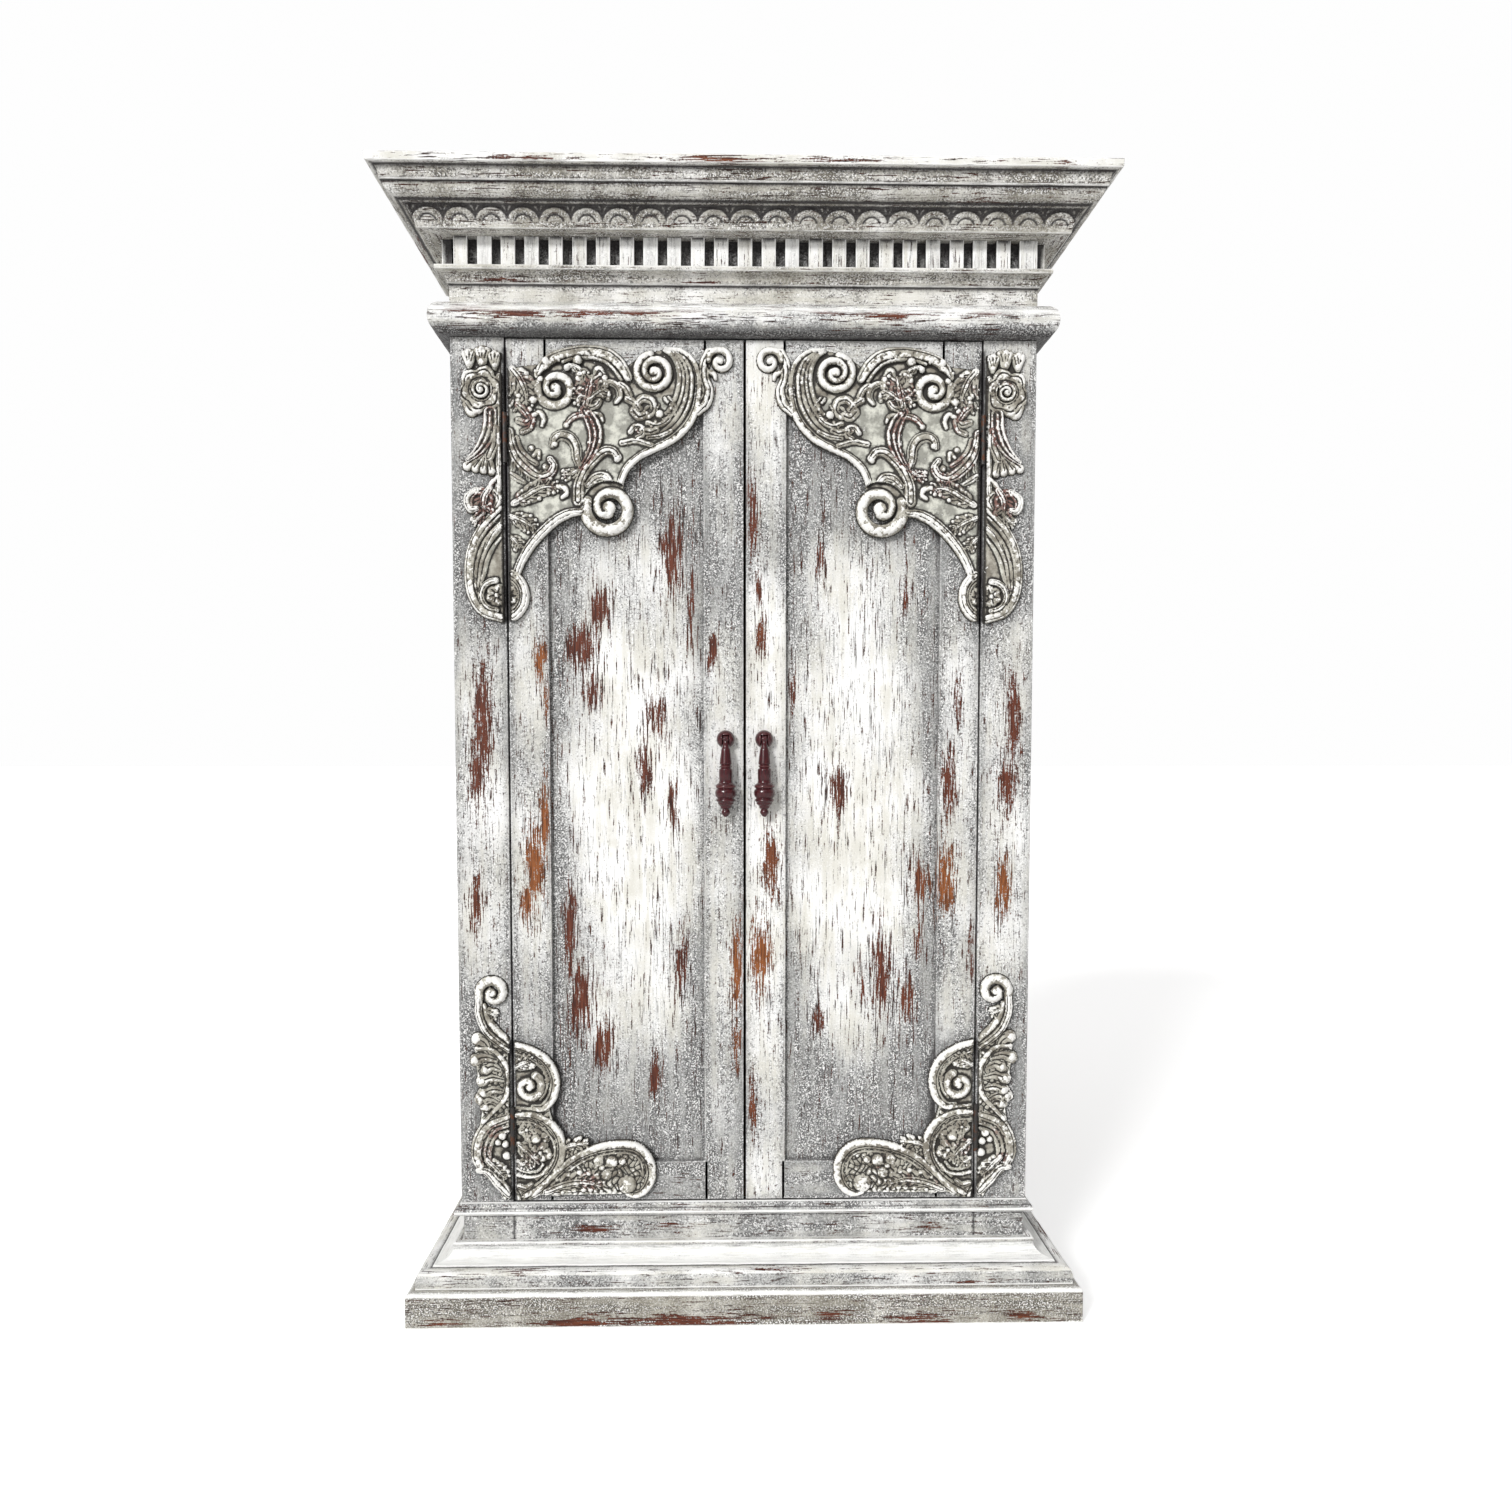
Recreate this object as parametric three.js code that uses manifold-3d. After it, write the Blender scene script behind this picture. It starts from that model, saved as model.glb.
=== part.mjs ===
// Two-door carved armoire: a panelled case between a moulded plinth and a dentil cornice.
// Millimetres, +Z up, doors facing -Y, origin on the floor under the middle of the cornice.
import * as THREE from 'three'
import { mergeVertices } from 'three/addons/utils/BufferGeometryUtils.js'
import Module from 'manifold-3d'

const wasm = await Module()
wasm.setup()

// ---- driving dimensions ----
const CASE_WIDTH = 1080
const CASE_FRONT = -220
const CASE_BACK = 340
const BOARD = 22 // thickness of case boards, and how far the mouldings reach inside the case line
const GAP = 0.3 // clearance between touching pieces
const MITRE = 0.2 // taken off each mitred end
const CURVE_STEPS = 5 // straight steps in each curved stretch

// levels, from the floor up
const PLINTH_TOP = 68
const CAP_TOP = 135
const CASE_BOTTOM = 208
const CASE_TOP = 1824
const TORUS_TOP = 1884
const FRIEZE_TOP = 1946
const DENTIL_TOP = 1999
const HEIGHT = 2100

// fronts
const FRAME_THICK = 28 // stiles, rails and fixed stiles
const SEAM = 440 // hinge seam, from the middle of the case
const SEAM_HALF = 1.5
const MEETING_HALF = 2.2
const DOOR_STILE = 75
const DOOR_BOTTOM = CASE_BOTTOM + 2
const DOOR_TOP = CASE_TOP - 2.5
const PANEL_RECESS = 9
const PANEL_THICK = 12
const GROOVE_DEEP = 8
const GROOVE_END = 20 // grooves in the stiles stop this far short of their ends

// inside
const SHELF_TOP = 1610
const SHELF_THICK = 20
const SHELF_SET_BACK = 70
const LID_UNDER = 1840
const RAIL_RADIUS = 15
const RAIL_HEIGHT = 1530
const RAIL_Y = 90
const RAIL_SOCKET_DEEP = 12

// hinges: the pin stands proud of the doors, between the halves of the carving
const PIN_PROUD = 12
const PIN_RADIUS = 1.8
const KNUCKLE_RADIUS = 4
const KNUCKLE_LENGTH = 30
const KNUCKLES = 3
const HINGE_HEIGHTS = { upper: 1640, lower: 350 }

// drop pulls
const PULL_X = 36
const PULL_Z = 1089
const PULL_PROUD = 20.5

const HALF = CASE_WIDTH / 2
const INSIDE = HALF - BOARD
const FRAME_BACK = CASE_FRONT + FRAME_THICK

// ---- materials ----
function finish(color, roughness, metalness = 0) {
  return new THREE.MeshStandardMaterial({ color, roughness, metalness })
}
const paint = finish(0xd2d1c8, 0.75)
const carved = finish(0xb9b6a8, 0.7)
const bareWood = finish(0x8a6a48, 0.7)
const turned = finish(0x4f1f1b, 0.25)
const iron = finish(0x3a3735, 0.5, 0.8)

// ---- scene graph ----
const group = new THREE.Group()
const base = new THREE.Group()
const carcase = new THREE.Group()
const cornice = new THREE.Group()
const doors = new THREE.Group()
group.add(base, carcase, cornice, doors)

function add(parent, name, geometry, material, x = 0, y = 0, z = 0) {
  const mesh = new THREE.Mesh(geometry, material)
  mesh.name = name
  mesh.position.set(x, y, z)
  parent.add(mesh)
}

// ---- geometry helpers ----
function signedVolume(geometry) {
  const at = geometry.getAttribute('position')
  const a = new THREE.Vector3()
  const b = new THREE.Vector3()
  const c = new THREE.Vector3()
  let total = 0
  for (let i = 0; i < at.count; i += 3) {
    a.fromBufferAttribute(at, i)
    b.fromBufferAttribute(at, i + 1)
    c.fromBufferAttribute(at, i + 2)
    total += a.dot(b.cross(c))
  }
  return total
}

// Faces pointing out, whatever mirroring made the geometry.
function outward(geometry) {
  const flat = geometry.index ? geometry.toNonIndexed() : geometry
  if (signedVolume(flat) < 0) {
    const at = flat.getAttribute('position')
    const swap = new THREE.Vector3()
    const other = new THREE.Vector3()
    for (let i = 0; i < at.count; i += 3) {
      swap.fromBufferAttribute(at, i + 1)
      other.fromBufferAttribute(at, i + 2)
      at.setXYZ(i + 1, other.x, other.y, other.z)
      at.setXYZ(i + 2, swap.x, swap.y, swap.z)
    }
  }
  return flat
}

// Pieces are drawn for the left side; side 1 mirrors them to the right.
function sided(geometry, side) {
  const copy = geometry.clone()
  if (side > 0) copy.scale(-1, 1, 1)
  return outward(copy)
}

function solid(geometry) {
  const bare = new THREE.BufferGeometry()
  bare.setAttribute('position', geometry.getAttribute('position').clone())
  if (geometry.index) bare.setIndex(geometry.index.clone())
  const merged = mergeVertices(bare, 1e-4)
  const vertProperties = new Float32Array(merged.getAttribute('position').array)
  const triVerts = new Uint32Array(merged.index.array)
  return new wasm.Manifold(new wasm.Mesh({ numProp: 3, vertProperties, triVerts }))
}

function meshed(manifold) {
  const result = manifold.getMesh()
  const geometry = new THREE.BufferGeometry()
  geometry.setAttribute('position', new THREE.BufferAttribute(new Float32Array(result.vertProperties), 3))
  geometry.setIndex(new THREE.BufferAttribute(new Uint32Array(result.triVerts), 1))
  return geometry.toNonIndexed()
}

function join(...geometries) {
  return meshed(geometries.map(solid).reduce((sum, next) => sum.add(next)))
}

function cut(geometry, ...tools) {
  return meshed(tools.map(solid).reduce((left, tool) => left.subtract(tool), solid(geometry)))
}

// A box between two corners.
function block(x0, x1, y0, y1, z0, z1) {
  const geometry = new THREE.BoxGeometry(x1 - x0, y1 - y0, z1 - z0)
  geometry.translate((x0 + x1) / 2, (y0 + y1) / 2, (z0 + z1) / 2)
  return geometry
}

function rod(radius, length, along, sides = 16) {
  const geometry = new THREE.CylinderGeometry(radius, radius, length, sides)
  if (along === 'x') geometry.rotateZ(Math.PI / 2)
  if (along === 'z') geometry.rotateX(Math.PI / 2)
  return geometry
}

function addBoard(parent, name, material, x0, x1, y0, y1, z0, z1) {
  const geometry = new THREE.BoxGeometry(x1 - x0, y1 - y0, z1 - z0)
  add(parent, name, geometry, material, (x0 + x1) / 2, (y0 + y1) / 2, (z0 + z1) / 2)
}

// ---- mouldings ----
// A profile is a shape of (projection beyond the case line, height). The front run is mitred
// at both ends and a side run at its front end only.
function run(profile, side) {
  const geometry = new THREE.ExtrudeGeometry(profile, {
    depth: 1, bevelEnabled: false, curveSegments: CURVE_STEPS,
  })
  const at = geometry.getAttribute('position')
  for (let i = 0; i < at.count; i += 1) {
    const projection = at.getX(i)
    const height = at.getY(i)
    const end = at.getZ(i)
    if (side === 0) {
      const x = (2 * end - 1) * (HALF + projection - MITRE)
      at.setXYZ(i, x, CASE_FRONT - projection, height)
    } else {
      const y = end === 0 ? CASE_FRONT - projection + MITRE : CASE_BACK
      at.setXYZ(i, side * (HALF + projection), y, height)
    }
  }
  return outward(geometry)
}

const RUNS = { front: 0, left: -1, right: 1 }

function addRuns(parent, name, profile) {
  for (const [where, side] of Object.entries(RUNS)) {
    add(parent, `${name}_${where}`, run(profile, side), paint)
  }
}

function profileFrom(steps) {
  const shape = new THREE.Shape()
  shape.moveTo(...steps[0])
  for (const step of steps.slice(1)) {
    if (step.length === 2) shape.lineTo(...step)
    else shape.quadraticCurveTo(...step)
  }
  shape.closePath()
  return shape
}

// Plinth board with a rounded top edge.
const plinthProfile = profileFrom([
  [40, 0], [89, 0], [89, PLINTH_TOP - 12],
  [89, PLINTH_TOP - GAP, 77, PLINTH_TOP - GAP],
  [40, PLINTH_TOP - GAP],
])

// Cap: ovolo nose, flat step, deep cove and bead, planted on the base rail.
const capProfile = profileFrom([
  [-3.2, PLINTH_TOP], [73.5, PLINTH_TOP], [74.5, 83],
  [73, 98, 61, 100], [47, 101], [46, 104],
  [17, 106, 13, 125], [15.5, 130, 13, CAP_TOP - GAP],
  [-3.2, CAP_TOP - GAP],
])

// Base rail down to the floor, with the ogee ledge that the case stands on.
const baseRailProfile = profileFrom([
  [-BOARD, 0], [-3.5, 0], [-3.5, 185], [10, 185],
  [14, 189, 12, 194], [8, 201, 1, CASE_BOTTOM - GAP],
  [-BOARD, CASE_BOTTOM - GAP],
])

// Half-round rail over the doors.
const torusProfile = profileFrom([
  [-BOARD, CASE_TOP], [0, CASE_TOP], [14, CASE_TOP + 1],
  [34, CASE_TOP + 6, 34, CASE_TOP + 29], [34, CASE_TOP + 53, 12, CASE_TOP + 58],
  [2, TORUS_TOP - GAP], [-BOARD, TORUS_TOP - GAP],
])

// Plain frieze with the bed moulding that carries the dentils.
const friezeProfile = profileFrom([
  [-BOARD, TORUS_TOP], [0, TORUS_TOP], [0, 1917], [3.4, 1918],
  [5, 1935, 20, 1937], [22.5, 1938], [22.5, FRIEZE_TOP - GAP], [-BOARD, FRIEZE_TOP - GAP],
])

// Crown: fillet, sloping carved band, ovolo, fillet, cove and square top edge.
const crownProfile = profileFrom([
  [-BOARD, DENTIL_TOP], [48, DENTIL_TOP], [50, 2010], [63, 2035], [70, 2036], [79, 2040],
  [92, 2044, 95, 2057], [96, 2061], [100, 2061],
  [101, 2078, 107, 2084], [119, 2085.5], [120, HEIGHT], [-BOARD, HEIGHT],
])

addRuns(base, 'plinth', plinthProfile)
addRuns(base, 'base_cap', capProfile)
addRuns(base, 'base_rail', baseRailProfile)
addRuns(cornice, 'torus', torusProfile)
addRuns(cornice, 'crown', crownProfile)

// ---- dentils ----
const DENTIL_PERIOD = 43
const DENTIL_WIDTH = 25.8
const DENTIL_FACE = 13.5
const DENTIL_BACK = -4
const DENTILS_FRONT = 25
const DENTILS_SIDE = 12
const INTO_FRIEZE = 1 // a side band overlaps its frieze, which it is one piece with

// Comb of blocks in plan: s runs along the band and p is the projection.
function comb(length, count) {
  const first = (length - (count - 1) * DENTIL_PERIOD - DENTIL_WIDTH) / 2
  const points = [[0, -BOARD], [0, DENTIL_BACK]]
  for (let i = 0; i < count; i += 1) {
    const start = first + i * DENTIL_PERIOD
    const end = start + DENTIL_WIDTH
    points.push([start, DENTIL_BACK], [start, DENTIL_FACE], [end, DENTIL_FACE], [end, DENTIL_BACK])
  }
  points.push([length, DENTIL_BACK], [length, -BOARD])
  return profileFrom(points)
}

function dentilBand(side, bottom) {
  const length = side === 0 ? CASE_WIDTH + 2 * (DENTIL_BACK - GAP) : CASE_BACK - CASE_FRONT - BOARD - GAP
  const count = side === 0 ? DENTILS_FRONT : DENTILS_SIDE
  const geometry = new THREE.ExtrudeGeometry(comb(length, count), {
    depth: DENTIL_TOP - GAP - bottom, bevelEnabled: false,
  })
  const at = geometry.getAttribute('position')
  for (let i = 0; i < at.count; i += 1) {
    const s = at.getX(i)
    const p = at.getY(i)
    const z = bottom + at.getZ(i)
    if (side === 0) at.setXYZ(i, s - length / 2, CASE_FRONT - p, z)
    else at.setXYZ(i, side * (HALF + p), CASE_BACK - s, z)
  }
  return outward(geometry)
}

add(cornice, 'frieze_front', run(friezeProfile, 0), paint)
add(cornice, 'dentil_front', dentilBand(0, FRIEZE_TOP), paint)
for (const [where, side] of [['left', -1], ['right', 1]]) {
  add(cornice, `frieze_${where}`, join(run(friezeProfile, side), dentilBand(side, FRIEZE_TOP - INTO_FRIEZE)), paint)
}
addBoard(cornice, 'cornice_lid', paint,
  -INSIDE + GAP, INSIDE - GAP, CASE_FRONT + BOARD + GAP, CASE_BACK, HEIGHT - BOARD, HEIGHT)

// ---- case ----
function sidePanel(side) {
  const inner = side * INSIDE
  const outer = side * HALF
  const panel = block(Math.min(inner, outer), Math.max(inner, outer),
    FRAME_BACK + GAP, CASE_BACK, CASE_BOTTOM, CASE_TOP - GAP)
  const socket = rod(RAIL_RADIUS + GAP, 2 * RAIL_SOCKET_DEEP, 'x')
  socket.translate(inner, RAIL_Y, RAIL_HEIGHT)
  return cut(panel, socket)
}

for (const [where, side] of [['left', -1], ['right', 1]]) {
  add(carcase, `side_panel_${where}`, sidePanel(side), paint)
  const edges = [side * (SEAM + SEAM_HALF), side * HALF]
  addBoard(carcase, `front_stile_${where}`, paint,
    Math.min(...edges), Math.max(...edges), CASE_FRONT, FRAME_BACK, CASE_BOTTOM, CASE_TOP - GAP)
}

const BACK_THICK = 10
const SPAN = INSIDE - GAP
const BACK_FACE = CASE_BACK - BACK_THICK
addBoard(carcase, 'back_panel', bareWood, -SPAN, SPAN, BACK_FACE, CASE_BACK, 0, HEIGHT - BOARD - GAP)
addBoard(carcase, 'bottom_board', bareWood,
  -SPAN, SPAN, CASE_FRONT + BOARD + GAP, BACK_FACE - GAP, CASE_BOTTOM - BOARD, CASE_BOTTOM - GAP)
addBoard(carcase, 'top_board', bareWood,
  -SPAN, SPAN, CASE_FRONT + BOARD + GAP, BACK_FACE - GAP, LID_UNDER, LID_UNDER + BOARD)
addBoard(carcase, 'hat_shelf', bareWood,
  -SPAN, SPAN, CASE_FRONT + SHELF_SET_BACK, BACK_FACE - GAP, SHELF_TOP - SHELF_THICK, SHELF_TOP)
add(carcase, 'hanging_rail', rod(RAIL_RADIUS, 2 * (INSIDE + RAIL_SOCKET_DEEP - GAP), 'x'), bareWood,
  0, RAIL_Y, RAIL_HEIGHT)

// ---- carvings ----
// Outlines are drawn on the left front: u runs from the hinge seam towards the middle of the
// case (negative on the fixed stile) and v is the height above the floor.
const CARVING_BACK = CASE_FRONT - GAP
const PLATE_RELIEF = 9
const SCROLL_RELIEF = 16
const SEAM_CLEAR = 5

function raised(shape, relief) {
  const geometry = new THREE.ExtrudeGeometry(shape, {
    depth: relief, bevelEnabled: false, curveSegments: CURVE_STEPS,
  })
  geometry.rotateX(Math.PI / 2)
  geometry.translate(-SEAM, CARVING_BACK, 0)
  return outward(geometry)
}

// Straight edges listed first, then a smooth curve through the rest.
function outline(straight, curved) {
  const shape = new THREE.Shape()
  shape.moveTo(...straight[0])
  for (const point of straight.slice(1)) shape.lineTo(...point)
  const points = [straight[straight.length - 1], ...curved].map((p) => new THREE.Vector2(...p))
  const steps = 3 * curved.length
  const curve = new THREE.SplineCurve(points)
  for (const point of curve.getPoints(steps).slice(1)) shape.lineTo(point.x, point.y)
  shape.closePath()
  return shape
}

function disc(u, v, radiusU, radiusV = radiusU) {
  const shape = new THREE.Shape()
  shape.absellipse(u, v, radiusU, radiusV, 0, 2 * Math.PI)
  return shape
}

function carving(plates, scrolls, side) {
  const pieces = [
    ...plates.map((shape) => raised(shape, PLATE_RELIEF)),
    ...scrolls.map((shape) => raised(shape, SCROLL_RELIEF)),
  ]
  return sided(join(...pieces), side)
}

// Spandrel over the door's top corner, with its scrolled lower edge.
const doorTopPlates = [outline(
  [[SEAM_CLEAR, 1345], [SEAM_CLEAR, 1790], [62, 1790]],
  [[100, 1796], [155, 1804], [212, 1775], [272, 1804], [325, 1790], [352, 1748], [342, 1690],
    [300, 1641], [249, 1612], [219, 1587], [206, 1550], [170, 1500], [128, 1499], [77, 1471],
    [34, 1430], [16, 1396]],
), outline([[330, 1690], [330, 1770], [370, 1806]], [[400, 1804], [385, 1775], [368, 1740], [362, 1696]])]
const doorTopScrolls = [
  disc(98, 1735, 38), disc(276, 1760, 38), disc(401, 1783, 21), disc(191, 1515, 47),
  disc(22, 1353, 16.5, 37),
]

// Corner scroll at the door's foot.
const doorFootPlates = [outline(
  [[SEAM_CLEAR, 222], [SEAM_CLEAR, 512]],
  [[53, 489], [83, 447], [70, 398], [64, 384], [88, 352], [112, 324], [153, 322], [199, 320],
    [243, 303], [263, 267], [250, 228], [217, 221]],
)]
const doorFootScrolls = [disc(42, 437, 24), disc(222, 246, 21)]

// Drop of flowers and leaves down the fixed stile.
const stileTopPlates = [outline(
  [[-SEAM_CLEAR, 1309], [-SEAM_CLEAR, 1770]],
  [[-30, 1804], [-66, 1800], [-76, 1740], [-62, 1690], [-34, 1668], [-40, 1625], [-66, 1592],
    [-34, 1568], [-70, 1532], [-56, 1490], [-74, 1440], [-78, 1385], [-68, 1340], [-42, 1312]],
)]
const stileTopScrolls = [disc(-42, 1732, 33), disc(-35, 1357, 29)]

// Leaf scroll at the foot of the fixed stile.
const stileFootPlates = [outline(
  [[-SEAM_CLEAR, 221], [-SEAM_CLEAR, 505]],
  [[-28, 530], [-38, 585], [-60, 600], [-70, 560], [-50, 520], [-78, 505], [-74, 450], [-62, 400],
    [-76, 340], [-74, 290], [-60, 262], [-36, 238]],
)]
const stileFootScrolls = [disc(-34, 613, 27)]

for (const [where, side] of [['left', -1], ['right', 1]]) {
  add(carcase, `stile_carving_top_${where}`, carving(stileTopPlates, stileTopScrolls, side), carved)
  add(carcase, `stile_carving_foot_${where}`, carving(stileFootPlates, stileFootScrolls, side), carved)
}

// ---- doors ----
const DOOR_OUTER = -(SEAM - SEAM_HALF)
const DOOR_INNER = -MEETING_HALF
const PANEL_FRONT = CASE_FRONT + PANEL_RECESS
const PANEL_BACK = PANEL_FRONT + PANEL_THICK
const PANEL_OUTER = DOOR_OUTER + DOOR_STILE
const PANEL_INNER = DOOR_INNER - DOOR_STILE
const PANEL_LOW = DOOR_BOTTOM + DOOR_STILE
const PANEL_HIGH = DOOR_TOP - DOOR_STILE

// Upright of a door frame, grooved for the panel on the edge named by grooveAt.
function doorStile(x0, x1, grooveAt) {
  const groove = block(grooveAt - GROOVE_DEEP, grooveAt + GROOVE_DEEP,
    PANEL_FRONT - GAP, PANEL_BACK + GAP, DOOR_BOTTOM + GROOVE_END, DOOR_TOP - GROOVE_END)
  return cut(block(x0, x1, CASE_FRONT, FRAME_BACK, DOOR_BOTTOM, DOOR_TOP), groove)
}

// Rail with stub tenons in the stiles' grooves and a groove for the panel.
function doorRail(z0, z1, grooveAt) {
  const reach = GROOVE_DEEP - GAP
  const tenonLow = Math.max(z0, DOOR_BOTTOM + GROOVE_END + GAP)
  const tenonHigh = Math.min(z1, DOOR_TOP - GROOVE_END - GAP)
  const body = block(PANEL_OUTER + GAP, PANEL_INNER - GAP, CASE_FRONT, FRAME_BACK, z0, z1)
  const tenons = block(PANEL_OUTER - reach, PANEL_INNER + reach, PANEL_FRONT, PANEL_BACK,
    tenonLow, tenonHigh)
  const groove = block(PANEL_OUTER - 2 * GROOVE_DEEP, PANEL_INNER + 2 * GROOVE_DEEP,
    PANEL_FRONT - GAP, PANEL_BACK + GAP, grooveAt - GROOVE_DEEP, grooveAt + GROOVE_DEEP)
  return cut(join(body, tenons), groove)
}

function doorPanel() {
  const reach = GROOVE_DEEP - GAP
  return block(PANEL_OUTER - reach, PANEL_INNER + reach, PANEL_FRONT, PANEL_BACK,
    PANEL_LOW - reach, PANEL_HIGH + reach)
}

// Butt hinge, drawn for the left side about its pin, plates lying in the seam. The frame leaf
// has the outer knuckles and the pin, and the door leaf the middle knuckle.
const LEAF_THICK = 1
const LEAF_OFF = 0.2 // from the middle of the seam to a plate
const LEAF_IN_SEAM = 22
const LEAF_REACH = PIN_PROUD + LEAF_IN_SEAM
const HINGE_HALF = KNUCKLES * KNUCKLE_LENGTH / 2

function hingePlate(side) {
  const x0 = side < 0 ? -LEAF_OFF - LEAF_THICK : LEAF_OFF
  return block(x0, x0 + LEAF_THICK, 0, LEAF_REACH, -HINGE_HALF, HINGE_HALF)
}

function hingeRelief(z0, z1) {
  const reach = KNUCKLE_RADIUS + 2 * GAP
  return block(-reach, reach, -reach, reach, z0, z1)
}

function frameLeaf() {
  const middle = KNUCKLE_LENGTH / 2 + GAP
  const plate = cut(hingePlate(-1), hingeRelief(-middle, middle))
  const length = HINGE_HALF - middle
  const knuckles = [-1, 1].map((end) => {
    const knuckle = rod(KNUCKLE_RADIUS, length, 'z', 12)
    knuckle.translate(0, 0, end * (middle + length / 2))
    return knuckle
  })
  return join(plate, ...knuckles, rod(PIN_RADIUS, 2 * HINGE_HALF, 'z', 12))
}

function doorLeaf() {
  const middle = KNUCKLE_LENGTH / 2
  const plate = cut(hingePlate(1),
    hingeRelief(-HINGE_HALF - 1, -middle), hingeRelief(middle, HINGE_HALF + 1))
  const knuckle = rod(KNUCKLE_RADIUS, KNUCKLE_LENGTH, 'z', 12)
  return cut(join(plate, knuckle), rod(PIN_RADIUS + GAP, 2 * KNUCKLE_LENGTH, 'z', 12))
}

// Turned rosette with a slot and cross pin, drawn about the pull's pivot.
const BALL_RADIUS = 16.5
const BALL_CENTRE = 12
const SLOT_HALF = 6.3
const PULL_PIN_RADIUS = 1.5
const PULL_PIN_LENGTH = 16
const SLOT_BACK = 8 // how far the slot runs in behind the pin
const EYE_RADIUS = 6
const EYE_WIDTH = 10.6
const PAST_BALL = 30 // the cutting blocks reach this far past the pin

function pullRosette() {
  const seat = PULL_PROUD - GAP
  const ball = new THREE.SphereGeometry(BALL_RADIUS, 16, 10)
  ball.translate(0, BALL_CENTRE, 0)
  const behindDoorFace = block(-PAST_BALL, PAST_BALL, seat, 2 * PAST_BALL, -PAST_BALL, PAST_BALL)
  const slot = block(-SLOT_HALF, SLOT_HALF, -PAST_BALL, SLOT_BACK, -PAST_BALL, SLOT_BACK)
  return join(cut(ball, behindDoorFace, slot), rod(PULL_PIN_RADIUS, PULL_PIN_LENGTH, 'x', 12))
}

// Turned drop: flat-sided eye, tapered neck with two rings, collar, bulb, ring and finial.
function pullDrop() {
  const turning = [
    [0, -3], [5, -3], [5.4, -12], [8, -19], [10.2, -46], [9.4, -48], [10.8, -50.5], [9.6, -53],
    [11.4, -56], [12, -82], [17.5, -86], [17.5, -90], [14.5, -92], [18.6, -99], [17, -107],
    [14, -110], [17, -114], [12, -122], [5, -130], [7, -137], [4, -144], [0, -145],
  ].map(([radius, z]) => new THREE.Vector2(radius, z)).reverse()
  const body = new THREE.LatheGeometry(turning, 16)
  body.rotateX(Math.PI / 2)
  const eye = rod(EYE_RADIUS, EYE_WIDTH, 'x', 14)
  return cut(join(body, eye), rod(PULL_PIN_RADIUS + GAP, PAST_BALL, 'x', 12))
}

for (const [where, side] of [['left', -1], ['right', 1]]) {
  const parts = {
    hinge_stile: [doorStile(DOOR_OUTER, PANEL_OUTER, PANEL_OUTER), paint],
    meeting_stile: [doorStile(PANEL_INNER, DOOR_INNER, PANEL_INNER), paint],
    top_rail: [doorRail(PANEL_HIGH, DOOR_TOP, PANEL_HIGH), paint],
    bottom_rail: [doorRail(DOOR_BOTTOM, PANEL_LOW, PANEL_LOW), paint],
    panel: [doorPanel(), paint],
    carving_top: [carving(doorTopPlates, doorTopScrolls, -1), carved],
    carving_foot: [carving(doorFootPlates, doorFootScrolls, -1), carved],
  }
  for (const [name, [geometry, material]] of Object.entries(parts)) {
    add(doors, `door_${name}_${where}`, sided(geometry, side), material)
  }
  const pinY = CASE_FRONT - PIN_PROUD
  for (const [level, z] of Object.entries(HINGE_HEIGHTS)) {
    add(carcase, `hinge_frame_leaf_${level}_${where}`, sided(frameLeaf(), side), iron, side * SEAM, pinY, z)
    add(doors, `hinge_door_leaf_${level}_${where}`, sided(doorLeaf(), side), iron, side * SEAM, pinY, z)
  }
  const pullY = CASE_FRONT - PULL_PROUD
  add(doors, `pull_rosette_${where}`, pullRosette(), turned, side * PULL_X, pullY, PULL_Z)
  add(doors, `pull_drop_${where}`, pullDrop(), turned, side * PULL_X, pullY, PULL_Z)
}

export default group
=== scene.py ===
import math

import bmesh
import bpy
import numpy as np
from mathutils import Matrix, Vector


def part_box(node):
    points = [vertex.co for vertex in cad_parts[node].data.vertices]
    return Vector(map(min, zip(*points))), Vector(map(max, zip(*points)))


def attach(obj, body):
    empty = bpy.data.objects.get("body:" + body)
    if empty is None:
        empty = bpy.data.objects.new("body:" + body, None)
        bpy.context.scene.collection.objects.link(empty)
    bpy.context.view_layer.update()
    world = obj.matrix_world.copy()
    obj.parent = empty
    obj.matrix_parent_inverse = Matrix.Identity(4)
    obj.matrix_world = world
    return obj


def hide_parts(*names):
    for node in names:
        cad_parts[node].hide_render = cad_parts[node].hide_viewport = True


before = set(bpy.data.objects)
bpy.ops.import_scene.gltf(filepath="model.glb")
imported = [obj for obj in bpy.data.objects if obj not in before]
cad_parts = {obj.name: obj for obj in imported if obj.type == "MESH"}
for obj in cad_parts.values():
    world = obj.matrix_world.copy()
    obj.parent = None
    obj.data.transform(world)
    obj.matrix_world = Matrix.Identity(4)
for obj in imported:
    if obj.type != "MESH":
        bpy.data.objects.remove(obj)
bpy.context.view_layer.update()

MM = 0.001


def edge_of(node, corner, axis):
    """One face of a CAD node's box, in millimetres: corner 0 is the low one, 1 the high one."""
    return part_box(node)[corner][axis] / MM


# ---- driving dimensions, as in the CAD model ----
CASE_FRONT = edge_of("front_stile_left", 0, 1)
CASE_BACK = edge_of("side_panel_left", 1, 1)
HALF = -edge_of("front_stile_left", 0, 0)
SEAM = 440
PLINTH_TOP = 68
CAP_TOP = 135
CASE_BOTTOM = 208
CASE_TOP = 1824
TORUS_TOP = 1884
FRIEZE_TOP = 1946
DENTIL_TOP = 1999
HEIGHT = 2100
BOARD = 22
# between one moulding and the next above it, and from a run's end to its mitre
GAP = 0.3
MITRE = 0.2
# which way each side of the case faces, and the same with the front as 0
SIDES = {"left": -1, "right": 1}
RUNS = {"front": 0, "left": -1, "right": 1}
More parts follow.
